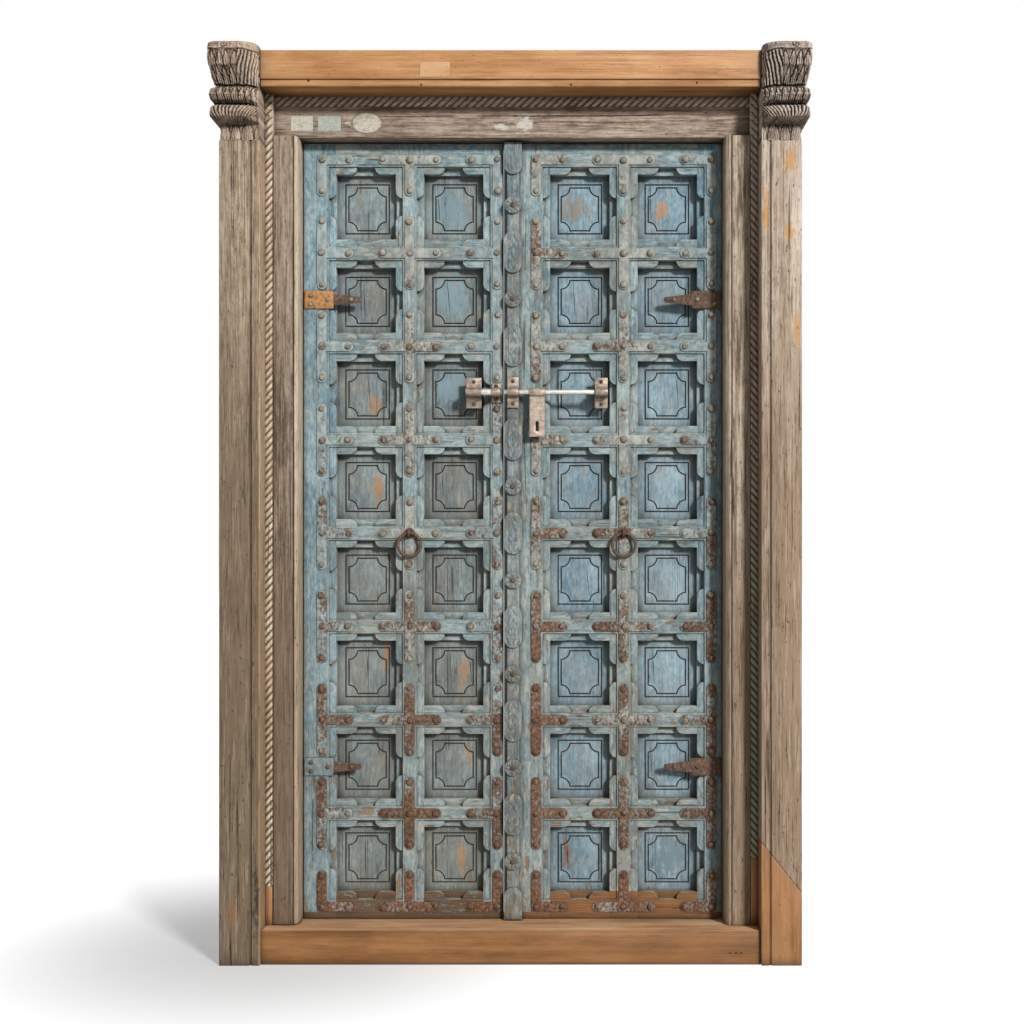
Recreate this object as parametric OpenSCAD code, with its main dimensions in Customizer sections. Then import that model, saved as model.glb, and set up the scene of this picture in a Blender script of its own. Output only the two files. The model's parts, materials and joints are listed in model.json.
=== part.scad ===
// Carved two-leaf temple door in its own frame, millimetres.
// Frame: +Z up, front towards -Y, origin under the middle of the frame on the ground.

/* [Opening and leaves] */
// Clear width between the two jambs
opening_w = 1044; // [1000:1:1080]
// Height of a leaf
leaf_h = 1924; // [1880:1:1960]
// Gap between a leaf's outer edge and the jamb
leaf_side_gap = 3; // [2:0.5:5]
// Gap between a leaf's foot and the sill
leaf_foot_gap = 2; // [1:0.5:4]
// Gap between a leaf's top and the lintel
leaf_head_gap = 4; // [2:0.5:6]
// Place of the meeting line, left of the middle
meeting_off = 23; // [18:1:26]
// Gap between the two meeting edges
meeting_gap = 3; // [2.5:0.5:8]

/* [Lattice] */
// Distance from a leaf's top to its first level strap line
top_line_drop = 40; // [36:1:44]
// Distance from a leaf's foot to its last level strap line
foot_line_rise = 28; // [26:1:34]
// Distance from the left leaf's outer edge to its first upright strap line
left_line_in = 45; // [42:1:50]
// Distance from the right leaf's outer edge to its first upright strap line
right_line_in = 25; // [23:1:30]
// Distance from the left leaf's meeting edge to its last upright strap line
left_line_meet = 13.5; // [12:0.5:18]
// Distance from the right leaf's meeting edge to its last upright strap line
right_line_meet = 79.5; // [74:0.5:84]
// Width of stiles and rails at the crossings
bar_w = 70; // [64:1:74]
// Depth of the cusped ears cut into each side of a bar
ear_depth = 18; // [12:1:20]
// Straight length of an ear
ear_flat = 44; // [34:1:50]
// Thickness of the cusped front layer
lattice_t = 18; // [14:1:20]
// Drop of the cusped wings below the raised band that carries the straps
wing_drop = 4; // [3:0.5:6]
// Thickness of the plain ground layer
ground_t = 12; // [10:1:14]
// Thickness of the planks
plank_t = 20; // [18:1:24]
// Width of the carved square on a plank
field_w = 112; // [100:1:118]
// Height of the carved square on a plank
field_h = 126; // [110:1:134]
// Radius of the scooped corners of the carved field
scoop_r = 22; // [16:1:26]
// Width of a carved line
line_w = 3.2; // [2:0.1:4]
// Depth of a carved line
line_d = 3; // [1.5:0.1:4]

/* [Iron straps] */
// Width of a strap
strap_w = 24; // [20:1:26]
// Thickness of a strap
strap_t = 3; // [2:0.5:4]
// Gap between an upright strap arm and a hinge plate
strap_gap = 4; // [3:0.5:10]
// Reach of a level strap arm from its crossing
strap_side = 78; // [68:1:84]

/* [Frame] */
// Depth from the capitals' front to the frame's back
frame_d = 248; // [240:1:260]
// How far the capitals stand in front of the posts
capital_proud = 50; // [40:1:60]
// Width of a post
post_w = 98; // [90:1:110]
// Width of a jamb
jamb_w = 62; // [56:1:70]
// Width of the rope mouldings beside the jambs
rope_w = 18; // [16:1:22]
// Height of the rope moulding over the lintel
top_rope_h = 24; // [20:1:28]
// Set-back of the jambs from the posts' front
jamb_set = 60; // [50:1:70]
// Set-back of the lintel from the posts' front
lintel_set = 85; // [76:1:95]
// Set-back of the leaves' lattice from the posts' front
leaf_set = 125; // [122:1:130]
// Height of the sill
sill_h = 82; // [76:1:90]
// Set-back of the sill from the posts' front
sill_set = 10; // [6:1:16]
// Height of the lintel
lintel_h = 76; // [70:1:84]
// Height of the top beam
beam_h = 87; // [80:1:95]
// Height of the stepped lip along the beam's foot
beam_lip_h = 17; // [12:1:22]
// Height of a capital
capital_h = 225; // [218:1:232]
// How far a capital stands above the beam
capital_rise = 9; // [4:1:20]
// How far a capital stands outside its post
capital_over = 21; // [16:1:26]
// Length of one rope strand along the moulding
strand = 19; // [17:0.5:24]
// Depth of the valleys between strands
strand_d = 6; // [4:0.5:8]
// Height of the new foot of the right post at its inner side
foot_inner = 298; // [260:1:340]
// Height of the new foot of the right post at its outer side
foot_outer = 175; // [150:1:200]
// Height of the new piece under the left rope moulding
left_rope_foot_h = 95; // [80:1:110]
// Height of the new piece under the right rope moulding
right_rope_foot_h = 165; // [140:1:190]

/* [Ironwork] */
// Radius of a leaf's pivot pins
pivot_r = 10; // [8:0.5:11]
// Length of a pivot pin
pivot_l = 25; // [20:1:30]
// Clearance of running fits
run_fit = 0.3; // [0.2:0.05:0.4]
// Radius of the bolt
bolt_r = 6; // [5:0.25:6.5]
// Height of the bolt's centre line above the leaf's lattice face
bolt_out = 26; // [25:0.5:28]
// Throw of the bolt
bolt_throw = 18; // [14:1:20]
// Radius of a pull ring at the middle of its wire
ring_r = 28.5; // [26:0.5:31]
// Radius of a pull ring's wire
ring_wire = 4; // [3:0.25:4.2]
// Distance of a pull ring's pivot from the straps' face
ring_out = 9; // [8:0.5:11]
// Thickness of the hinge straps
hinge_t = 4; // [3:0.5:5]

/* [Hidden] */
$fn = 48;
ROWS = 8;
HINGE_ROWS = [1, 6];
LEDGE_LINES = [1, 4, 7];
RING_LINE = 4;
BOLT_ROW = 2;
// The capital's outline from its foot up: share of its overhang, and share of its height
CAPITAL_SHAPE = [[0.08, 0], [0.08, 0.165], [0.5, 0.18], [0.8, 0.215], [0.86, 0.265], [0.72, 0.32], [0.4, 0.355],
                 [0.72, 0.385], [0.9, 0.44], [0.76, 0.505], [0.44, 0.55], [0.5, 0.575], [0.72, 0.66],
                 [0.94, 0.76], [1, 0.83], [1, 0.92], [0.93, 0.975], [0.75, 1]];

// Levels along Y, front to back
back_y = frame_d / 2;
post_front = capital_proud - frame_d / 2;
jamb_front = post_front + jamb_set;
lintel_front = post_front + lintel_set;
leaf_face = post_front + leaf_set;
bar_t = lattice_t + ground_t;
plank_face = leaf_face + bar_t;
leaf_t = bar_t + plank_t;
leaf_back = leaf_face + leaf_t;
strap_face = leaf_face - strap_t;
pivot_edge = leaf_t / 2;
pivot_y = leaf_face + pivot_edge;

// Places along X, from the middle out
jamb_in = opening_w / 2;
jamb_out = jamb_in + jamb_w;
post_in = jamb_out + rope_w;
post_out = post_in + post_w;
leaf_out = jamb_in - leaf_side_gap;
pivot_x = leaf_out - pivot_edge;
left_meet = -meeting_off - meeting_gap / 2;
right_meet = -meeting_off + meeting_gap / 2;

// Heights
leaf_z = sill_h + leaf_foot_gap;
leaf_top = leaf_z + leaf_h;
lintel_z = leaf_top + leaf_head_gap;
rope_z = lintel_z + lintel_h;
beam_z = rope_z + top_rope_h;
beam_top = beam_z + beam_h;
capital_top = beam_top + capital_rise;
post_h = capital_top - capital_h;
row_pitch = (leaf_h - top_line_drop - foot_line_rise) / ROWS;
function line_z(k) = leaf_top - top_line_drop - k * row_pitch;
function cell_z(r) = line_z(r + 0.5);
strap_end = strap_w / 2;
band_w = bar_w - 2 * ear_depth;

// A leaf is drawn as a left leaf; the right leaf is its mirror image.
// edge is the meeting edge and lines the three upright strap lines, all in left-leaf places.
left_edge = left_meet;
right_edge = -right_meet;
function column_pitch(edge, line_in, line_meet) = (edge + leaf_out - line_in - line_meet) / 2;
function strap_lines(edge, line_in, line_meet) =
    [for (c = [0:2]) -leaf_out + line_in + c * column_pitch(edge, line_in, line_meet)];
left_lines = strap_lines(left_edge, left_line_in, left_line_meet);
right_lines = strap_lines(right_edge, right_line_in, right_line_meet);

// Bolt, on the right leaf
bolt_y = leaf_face - bolt_out;
bolt_z = cell_z(BOLT_ROW);
bolt_bore = bolt_r + run_fit;
guide_wall = 4.5;
guide_w = 28;
end_guide_w = 32;
end_guide_x = -right_lines[1] - bar_w / 2 - end_guide_w / 2 - 5;
keeper_w = 38;
keeper_x = left_lines[2] - bar_w / 2 - keeper_w / 2 - 4;
plate_h = 76;
barrel_back = 5;
loop_w = 22;
loop_x = left_meet - barrel_back - loop_w / 2;
plate_t = 5;
eye_w = 38;
eye_gap = 1;
hasp_l = 110;
hasp_t = 4;
slot_w = 8;
slot_l = 24;
slot_up = 14;

// Astragal, on the right leaf's meeting edge
astragal_w = 44;
astragal_in = 1;
astragal_x = right_meet + astragal_in + astragal_w / 2;
eye_x = astragal_x + astragal_w / 2 + bolt_throw + eye_gap + eye_w / 2;
neck_w = 30;
neck_t = 14;
cartouche_l = 104;
end_block_h = 28;
cartouche_t = 20;
rosette_r = 21;
rosette_t = 21;
boss_r = 7;
boss_t = 22.5;

// Small cuts and shapes
bead_in = 20;
bead_w = 4;
beam_lip_d = 5;
jamb_chamfer = 10;
flute_r = 5;
flute_sink = 2.5;
flute_low = 0.6;
flute_high = 0.93;
turned_w = 46;
FRONT_FLUTES = 4;
SIDE_FLUTES = 9;
TURNED_FLUTES = 3;
ledge_h = 90;
ledge_t = 18;
ledge_in = 80;
staple_r = 7.5;
staple_wire = 2.8;
eye_r = staple_r + staple_wire;
staple_base_r = 13;
staple_base_t = 2;
hinge_h = 44;
strap_up = row_pitch / 2 - hinge_h / 2 - strap_gap;
loop_h = hinge_h + 2 * strap_gap - 4;
hinge_plate_l = 72;
hinge_tip_l = 70;
hinge_tip_h = 14;

WOOD_OLD = "#8a7864";
WOOD_DARK = "#6f5d4d";
WOOD_NEW = "#b98043";
PAINT = "#7f97a0";
PAINT_DARK = "#6c848e";
IRON = "#84685a";
STEEL = "#a5958a";

// Shared shapes

// A box from its low corner to its high corner
module span(low, high) {
    translate(low) cube(high - low);
}

// A flat outline on the XZ plane, made solid from y_front back by depth
module slab(y_front, depth) {
    translate([0, y_front + depth, 0]) rotate([90, 0, 0]) linear_extrude(depth) children();
}

// A strap arm from the origin along +X, with a round end
module strap_arm(reach) {
    translate([0, -strap_w / 2]) square([reach - strap_end, strap_w]);
    translate([reach - strap_end, 0]) circle(d = strap_w);
}

// The cusped ear cut into a bar's side: its mouth on Y=0 and its depth along +Y
module ear() {
    mouth = ear_flat + 2 * ear_depth;
    difference() {
        translate([-mouth / 2, -1]) square([mouth, ear_depth + 1]);
        for (s = [-1, 1]) translate([s * mouth / 2, ear_depth]) circle(ear_depth);
    }
}

// A square with scooped corners, as carved on the planks
module scooped(w, h, r) {
    difference() {
        square([w, h], center = true);
        for (sx = [-1, 1], sz = [-1, 1]) translate([sx * w / 2, sz * h / 2]) circle(r);
    }
}

// The two carved lines of one field
module field_lines() {
    inner_gap = 2.4 * line_w;
    difference() {
        square([field_w, field_h], center = true);
        square([field_w - 2 * line_w, field_h - 2 * line_w], center = true);
    }
    difference() {
        scooped(field_w - 2 * inner_gap, field_h - 2 * inner_gap, scoop_r);
        scooped(field_w - 2 * inner_gap - 2 * line_w, field_h - 2 * inner_gap - 2 * line_w,
                scoop_r + line_w);
    }
}

// Frame pieces

// A post with a bead line down its inner front edge
module post(z_low) {
    difference() {
        span([post_in, post_front, z_low], [post_out, back_y, post_h]);
        span([post_in + bead_in, post_front - 1, z_low - 1],
             [post_in + bead_in + bead_w, post_front + bead_w, post_h + 1]);
    }
}

module left_post() {
    color(WOOD_OLD) mirror([1, 0, 0]) post(0);
}

// The outline of the new foot, with its slanted joint to the old post
module foot_outline() {
    polygon([[post_in, 0], [post_out, 0], [post_out, foot_outer], [post_in, foot_inner]]);
}

module right_post() {
    color(WOOD_OLD) difference() {
        post(0);
        slab(post_front - 1, frame_d + 2) foot_outline();
    }
}

module right_post_foot() {
    color(WOOD_NEW) intersection() {
        post(0);
        slab(post_front, back_y - post_front) foot_outline();
    }
}

// The capital's section: plain at 0, core wide, and out over that by its outline
module capital_section(core, over) {
    polygon(concat([[0, 0]], [for (p = CAPITAL_SHAPE) [core + p[0] * over, p[1] * capital_h]], [[0, capital_h]]));
}

// Flutes down the capital's head, on its front, its turned inner face and its outer side
module capital_flutes() {
    low = post_h + flute_low * capital_h;
    h = capital_h * (flute_high - flute_low);
    front_run = post_w + capital_over - turned_w;
    front_step = front_run / (FRONT_FLUTES + 1);
    side_step = (frame_d - capital_proud / 2) / (SIDE_FLUTES + 1);
    for (i = [1:FRONT_FLUTES])
        translate([post_in + turned_w + i * front_step, flute_sink - frame_d / 2, low]) cylinder(r = flute_r, h = h);
    for (i = [1:SIDE_FLUTES])
        translate([post_out + capital_over - flute_sink, back_y - i * side_step, low]) cylinder(r = flute_r, h = h);
    for (i = [1:TURNED_FLUTES]) {
        share = i / (TURNED_FLUTES + 1);
        translate([post_in + share * turned_w + flute_sink / 2,
                   post_front - share * capital_proud + flute_sink / 2, low]) cylinder(r = flute_r, h = h);
    }
}

// The capital: one outline seen from the front and one from the side, with its inner front corner turned
module capital() {
    difference() {
        intersection() {
            translate([post_in, 0, post_h]) slab(-frame_d / 2, frame_d) capital_section(post_w, capital_over);
            translate([post_in - 1, back_y, post_h]) rotate([0, 0, -90]) slab(0, post_w + capital_over + 2)
                capital_section(frame_d - capital_proud, capital_proud);
        }
        translate([post_in, post_front, post_h - 1]) linear_extrude(capital_h + 2)
            polygon([[-1, 0], [0, 0], [turned_w, -capital_proud], [turned_w, -capital_proud - 1],
                     [-1, -capital_proud - 1]]);
        capital_flutes();
    }
}

module left_capital() {
    color(WOOD_DARK) mirror([1, 0, 0]) capital();
}

module right_capital() {
    color(WOOD_DARK) capital();
}

// The new beam between the capitals, with a stepped lip along its foot
module top_beam() {
    color(WOOD_NEW) {
        span([-post_in, post_front + beam_lip_d, beam_z], [post_in, back_y, beam_z + beam_lip_h]);
        span([-post_in, post_front, beam_z + beam_lip_h], [post_in, back_y, beam_top]);
    }
}

// The sill, with a blind socket for each leaf's lower pivot
module bottom_sill() {
    color(WOOD_NEW) difference() {
        span([-post_in, post_front + sill_set, 0], [post_in, back_y, sill_h]);
        for (s = [-1, 1]) translate([s * pivot_x, pivot_y, leaf_z - pivot_l - run_fit])
            cylinder(r = pivot_r + run_fit, h = pivot_l + 10);
    }
}

// The lintel, with a socket for each leaf's upper pivot
module lintel() {
    color(WOOD_OLD) difference() {
        span([-jamb_out, lintel_front, lintel_z], [jamb_out, back_y, rope_z]);
        for (s = [-1, 1]) translate([s * pivot_x, pivot_y, lintel_z - 10])
            cylinder(r = pivot_r + run_fit, h = pivot_l + 10);
    }
}

// A jamb with its inner front edge chamfered
module jamb() {
    translate([0, 0, sill_h]) linear_extrude(lintel_z - sill_h)
        polygon([[jamb_in, jamb_front + jamb_chamfer], [jamb_in + jamb_chamfer, jamb_front],
                 [jamb_out, jamb_front], [jamb_out, back_y], [jamb_in, back_y]]);
}

module left_jamb() {
    color(WOOD_OLD) mirror([1, 0, 0]) jamb();
}

module right_jamb() {
    color(WOOD_OLD) jamb();
}

// Slanted strands, as a toothed slab laid at 45 degrees: crests on Y=0, roots at strand_d
module strands(run) {
    step = strand / sqrt(2);
    count = ceil(run / sqrt(2) / step) + 2;
    translate([0, strand_d, 0]) rotate([90, -45, 0]) translate([-step, -run, 0])
        rotate([-90, 0, 0]) translate([0, 0, -run * 2]) linear_extrude(run * 4)
            polygon(concat(
                [for (i = [0:count]) each [[i * step, 0], [(i + 0.28) * step, -strand_d],
                                           [(i + 0.72) * step, -strand_d]]],
                [[(count + 1) * step, 0], [(count + 1) * step, 1], [0, 1]]));
}

// A rope moulding: a strip of section w by depth, length l up Z, with its front at Y=0
module rope_strip(w, depth, l) {
    span([0, strand_d, 0], [w, depth, l]);
    intersection() {
        span([0, 0, 0], [w, strand_d + 0.5, l]);
        strands(l + w);
    }
}

module side_rope(foot_h) {
    translate([jamb_out, jamb_front, sill_h + foot_h])
        rope_strip(rope_w, back_y - jamb_front, beam_z - sill_h - foot_h);
}

module side_rope_foot(foot_h) {
    span([jamb_out, jamb_front, sill_h], [post_in, back_y, sill_h + foot_h]);
}

module left_rope_moulding() {
    color(WOOD_DARK) mirror([1, 0, 0]) side_rope(left_rope_foot_h);
}

module right_rope_moulding() {
    color(WOOD_DARK) side_rope(right_rope_foot_h);
}

module top_rope_moulding() {
    color(WOOD_DARK) translate([-jamb_out, lintel_front, beam_z]) rotate([0, 90, 0])
        rope_strip(top_rope_h, back_y - lintel_front, 2 * jamb_out);
}

module left_rope_foot() {
    color(WOOD_NEW) mirror([1, 0, 0]) side_rope_foot(left_rope_foot_h);
}

module right_rope_foot() {
    color(WOOD_NEW) side_rope_foot(right_rope_foot_h);
}

// Leaf pieces, drawn as a left leaf

// Ears along an upright bar, one at each row, opening to the side that s names
module upright_ears(x, s) {
    for (r = [0:ROWS - 1])
        translate([x, cell_z(r)]) rotate(s * 90) ear();
}

// Cuts the wings of an upright bar down between two places along X, but not across the rails' bands
module drop_upright(low, high) {
    difference() {
        span([low, leaf_face - 1, leaf_z - 1], [high, leaf_face + wing_drop, leaf_top + 1]);
        for (k = [0:ROWS]) span([low - 1, leaf_face - 2, band_low(k)],
                                [high + 1, leaf_face + wing_drop + 1, band_high(k)]);
    }
}

// The full-thickness pivot edge carries the lattice stile; the back edge is round about the pivot
module outer_stile(lines) {
    inner = lines[0] + bar_w / 2;
    color(PAINT) difference() {
        union() {
            span([-leaf_out, leaf_face, leaf_z], [-pivot_x, pivot_y, leaf_top]);
            translate([-pivot_x, pivot_y, leaf_z]) cylinder(r = pivot_edge, h = leaf_h);
            span([-pivot_x, leaf_face, leaf_z], [-pivot_x + pivot_edge, leaf_back, leaf_top]);
            span([-pivot_x, leaf_face, leaf_z], [inner, plank_face, leaf_top]);
        }
        slab(leaf_face - 1, lattice_t + 1) upright_ears(inner, 1);
        drop_upright(lines[0] + band_w / 2, inner + 1);
        for (z = [leaf_z - 1, leaf_top - pivot_l]) translate([-pivot_x, pivot_y, z])
            cylinder(r = pivot_r, h = pivot_l + 1);
    }
}

// The middle stile laps over the rails: whole between them, front layer only where they cross
module middle_stile(lines) {
    low = lines[1] - bar_w / 2;
    high = lines[1] + bar_w / 2;
    color(PAINT) difference() {
        span([low, leaf_face, leaf_z], [high, plank_face, leaf_top]);
        slab(leaf_face - 1, lattice_t + 1) {
            upright_ears(low, -1);
            upright_ears(high, 1);
        }
        drop_upright(low - 1, lines[1] - band_w / 2);
        drop_upright(lines[1] + band_w / 2, high + 1);
        for (k = [0:ROWS]) span([low - 1, leaf_face + lattice_t, rail_low(k)],
                                [high + 1, plank_face + 1, rail_high(k)]);
    }
}

module meeting_stile(lines, edge) {
    low = lines[2] - bar_w / 2;
    color(PAINT) difference() {
        span([low, leaf_face, leaf_z], [edge, plank_face, leaf_top]);
        slab(leaf_face - 1, lattice_t + 1) upright_ears(low, -1);
        drop_upright(low - 1, lines[2] - band_w / 2);
    }
}

// A rail fills the height between two rows of cells; the first and last run to the leaf's ends
function rail_low(k) = k == ROWS ? leaf_z : line_z(k) - bar_w / 2;
function rail_high(k) = k == 0 ? leaf_top : line_z(k) + bar_w / 2;
function band_low(k) = k == ROWS ? leaf_z - 1 : line_z(k) - band_w / 2;
function band_high(k) = k == 0 ? leaf_top + 1 : line_z(k) + band_w / 2;

module rail(lines, k) {
    low = lines[0] + bar_w / 2;
    high = lines[2] - bar_w / 2;
    color(PAINT) difference() {
        span([low, leaf_face, rail_low(k)], [high, plank_face, rail_high(k)]);
        span([lines[1] - bar_w / 2, leaf_face - 1, rail_low(k) - 1],
             [lines[1] + bar_w / 2, leaf_face + lattice_t, rail_high(k) + 1]);
        slab(leaf_face - 1, lattice_t + 1) for (c = [0, 1]) {
            x = (lines[c] + lines[c + 1]) / 2;
            if (k > 0) translate([x, rail_high(k)]) rotate(180) ear();
            if (k < ROWS) translate([x, rail_low(k)]) ear();
        }
        if (k > 0) span([low - 1, leaf_face - 1, band_high(k)],
                        [high + 1, leaf_face + wing_drop, rail_high(k) + 1]);
        if (k < ROWS) span([low - 1, leaf_face - 1, rail_low(k) - 1],
                           [high + 1, leaf_face + wing_drop, band_low(k)]);
    }
}

// A plank behind one column of cells, with a carved field in each
module plank(lines, c, low, high) {
    color(PAINT_DARK) difference() {
        span([low, plank_face, leaf_z], [high, leaf_back, leaf_top]);
        slab(plank_face - 1, line_d + 1) for (r = [0:ROWS - 1])
            translate([(lines[c] + lines[c + 1]) / 2, cell_z(r)]) field_lines();
    }
}

module outer_plank(lines) {
    plank(lines, 0, -pivot_x + pivot_edge, lines[1]);
}

module inner_plank(lines, edge) {
    plank(lines, 1, lines[1], edge);
}

// One iron cross at each crossing; arms that would leave the lattice are left off
module straps(lines) {
    color(IRON) slab(strap_face, strap_t) for (c = [0:2], k = [0:ROWS])
        translate([lines[c], line_z(k)]) {
            square(strap_w - 2, center = true);
            if (c > 0) rotate(180) strap_arm(strap_side);
            if (c < 2) strap_arm(strap_side);
            if (k > 0) rotate(90) strap_arm(strap_up);
            if (k < ROWS) rotate(-90) strap_arm(strap_up);
        }
}

// Iron pivot pins let into the foot and the top of the outer stile
module pivots() {
    color(STEEL) translate([-pivot_x, pivot_y, 0]) {
        translate([0, 0, leaf_z - pivot_l]) cylinder(r = pivot_r, h = 2 * pivot_l - 1);
        translate([0, 0, leaf_top - pivot_l]) cylinder(r = pivot_r, h = 2 * pivot_l - run_fit);
    }
}

// Strap hinges: a plate across the stile and a tapered tongue over the panel
module hinge_straps() {
    plate_end = -leaf_out + 2 + hinge_plate_l;
    tip = plate_end + hinge_tip_l;
    color(IRON) slab(leaf_face - hinge_t, hinge_t) for (r = HINGE_ROWS) translate([0, cell_z(r)]) {
        translate([-leaf_out + 2, -hinge_h / 2]) square([hinge_plate_l, hinge_h]);
        polygon([[plate_end - 1, -hinge_h / 3], [tip - hinge_tip_h / 2, -hinge_tip_h / 2],
                 [tip - hinge_tip_h / 2, hinge_tip_h / 2], [plate_end - 1, hinge_h / 3]]);
        translate([tip - hinge_tip_h / 2, 0]) circle(d = hinge_tip_h);
    }
}

// Ledges across the back of the planks
module ledges(edge) {
    color(PAINT_DARK) for (k = LEDGE_LINES)
        span([-pivot_x + ledge_in, leaf_back, line_z(k) - ledge_h / 2],
             [edge - ledge_in / 2, leaf_back + ledge_t, line_z(k) + ledge_h / 2]);
}

// The eye that a pull ring hangs from: a base disc and a plate with a round hole
module ring_staple(lines) {
    ring_y = strap_face - ring_out;
    color(IRON) translate([lines[1], 0, line_z(RING_LINE)]) {
        translate([0, strap_face, 0]) rotate([90, 0, 0]) cylinder(r = staple_base_r, h = staple_base_t);
        difference() {
            intersection() {
                union() {
                    translate([-staple_wire, ring_y, 0]) rotate([0, 90, 0])
                        cylinder(r = eye_r, h = 2 * staple_wire);
                    span([-staple_wire, ring_y, -eye_r], [staple_wire, strap_face, eye_r]);
                }
                span([-eye_r, ring_y - 2 * eye_r, -2 * eye_r], [eye_r, strap_face, 2 * eye_r]);
            }
            translate([-staple_wire - 1, ring_y, 0]) rotate([0, 90, 0])
                cylinder(r = staple_r - staple_wire, h = 2 * staple_wire + 2);
        }
    }
}

module pull_ring(lines) {
    color(IRON) translate([lines[1], strap_face - ring_out, line_z(RING_LINE) - ring_r])
        rotate([90, 0, 0]) rotate_extrude() translate([ring_r, 0]) circle(ring_wire);
}

// Door furniture of the meeting edge

// The carved cover strip: a neck with a cartouche at each level line and a rosette at each row
module astragal() {
    color(PAINT) {
        span([astragal_x - neck_w / 2, leaf_face - neck_t, leaf_z],
             [astragal_x + neck_w / 2, leaf_face, leaf_top]);
        for (k = [1:ROWS - 1]) slab(leaf_face - cartouche_t, cartouche_t)
            translate([astragal_x, line_z(k)]) cartouche(-1, 1);
        slab(leaf_face - cartouche_t, cartouche_t) {
            translate([astragal_x, leaf_top - end_block_h]) cartouche(-1, 0);
            translate([astragal_x - astragal_w / 2, leaf_top - end_block_h]) square([astragal_w, end_block_h]);
            translate([astragal_x, leaf_z + end_block_h]) cartouche(0, 1);
            translate([astragal_x - astragal_w / 2, leaf_z]) square([astragal_w, end_block_h]);
        }
        for (r = [0:ROWS - 1]) if (r != BOLT_ROW)
            translate([astragal_x, leaf_face, cell_z(r)]) rotate([90, 0, 0]) {
                cylinder(r = rosette_r, h = rosette_t);
                cylinder(r = boss_r, h = boss_t);
            }
    }
}

// A long plate with round shoulders, from its middle down and up as s_low and s_high say
module cartouche(s_low, s_high) {
    straight = cartouche_l / 2 - astragal_w / 2;
    translate([-astragal_w / 2, s_low * straight])
        square([astragal_w, (s_high - s_low) * straight]);
    for (s = [s_low, s_high]) if (s != 0) translate([0, s * straight]) circle(d = astragal_w);
}

// A bored block for the bolt, on a plate at y_plate and a packing block back to y_foot
module bolt_block(x, w, y_plate, y_foot, h = plate_h) {
    difference() {
        union() {
            span([x - w / 2, y_plate - plate_t, bolt_z - h / 2],
                 [x + w / 2, y_plate, bolt_z + h / 2]);
            span([x - w / 2, bolt_y, bolt_z - bolt_bore - guide_wall],
                 [x + w / 2, y_plate, bolt_z + bolt_bore + guide_wall]);
            translate([x - w / 2, bolt_y, bolt_z]) rotate([0, 90, 0])
                cylinder(r = bolt_bore + guide_wall, h = w);
            if (y_foot > y_plate) span([x - w / 2 + 3, y_plate - 1, bolt_z - h / 2 + 8],
                                       [x + w / 2 - 3, y_foot, bolt_z + h / 2 - 8]);
        }
        translate([x - w / 2 - 1, bolt_y, bolt_z]) rotate([0, 90, 0])
            cylinder(r = bolt_bore, h = w + 2);
    }
}

// The guide on the astragal and the guide at the bolt's tail
module bolt_guides() {
    color(STEEL) {
        bolt_block(astragal_x, guide_w, leaf_face - neck_t, leaf_face - neck_t);
        bolt_block(end_guide_x, end_guide_w, leaf_face, plank_face);
    }
}

// The keeper on the left leaf, with a barrel and a loop towards the meeting edge
module bolt_keeper() {
    color(STEEL) {
        bolt_block(keeper_x, keeper_w, leaf_face, plank_face);
        bolt_block(loop_x, loop_w, leaf_face, leaf_face, loop_h);
        difference() {
            translate([keeper_x + keeper_w / 2 - 1, bolt_y, bolt_z]) rotate([0, 90, 0])
                cylinder(r = bolt_bore + 2, h = left_meet - barrel_back - keeper_x - keeper_w / 2 + 1);
            translate([keeper_x, bolt_y, bolt_z]) rotate([0, 90, 0])
                cylinder(r = bolt_bore, h = left_meet - keeper_x + 1);
        }
    }
}

module bolt_rod() {
    tip = right_meet + 2;
    tail = end_guide_x - end_guide_w / 2 + bolt_throw + 2;
    color(STEEL) translate([tip, bolt_y, bolt_z]) rotate([0, 90, 0]) cylinder(r = bolt_r, h = tail - tip);
}

// The hasp: an eye that turns on the bolt and a flap with a slot
module hasp_flap() {
    color(STEEL) translate([eye_x, bolt_y, bolt_z]) difference() {
        union() {
            translate([-eye_w / 2, 0, 0]) rotate([0, 90, 0]) cylinder(r = bolt_bore + guide_wall, h = eye_w);
            span([-eye_w / 2, -hasp_t / 2, -hasp_l], [eye_w / 2, hasp_t / 2, 0]);
        }
        translate([-eye_w / 2 - 1, 0, 0]) rotate([0, 90, 0]) cylinder(r = bolt_bore, h = eye_w + 2);
        span([-slot_w / 2, -hasp_t, slot_up - hasp_l], [slot_w / 2, hasp_t, slot_up + slot_l - hasp_l]);
    }
}

// One leaf's piece by name, drawn as a left leaf
module leaf_piece(piece, lines, edge) {
    if (piece == "outer_plank") outer_plank(lines);
    if (piece == "inner_plank") inner_plank(lines, edge);
    if (piece == "outer_stile") outer_stile(lines);
    if (piece == "middle_stile") middle_stile(lines);
    if (piece == "meeting_stile") meeting_stile(lines, edge);
    if (piece == "straps") straps(lines);
    if (piece == "pivots") pivots();
    if (piece == "hinge_straps") hinge_straps();
    if (piece == "ledges") ledges(edge);
    if (piece == "ring_staple") ring_staple(lines);
    if (piece == "pull_ring") pull_ring(lines);
    for (k = [0:ROWS]) if (piece == str("rail_", k + 1)) rail(lines, k);
}

LEAF_PIECES = concat(
    ["outer_plank", "inner_plank", "outer_stile", "middle_stile", "meeting_stile", "straps", "pivots",
     "hinge_straps", "ledges", "ring_staple", "pull_ring"],
    [for (k = [0:ROWS]) str("rail_", k + 1)]);

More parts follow.
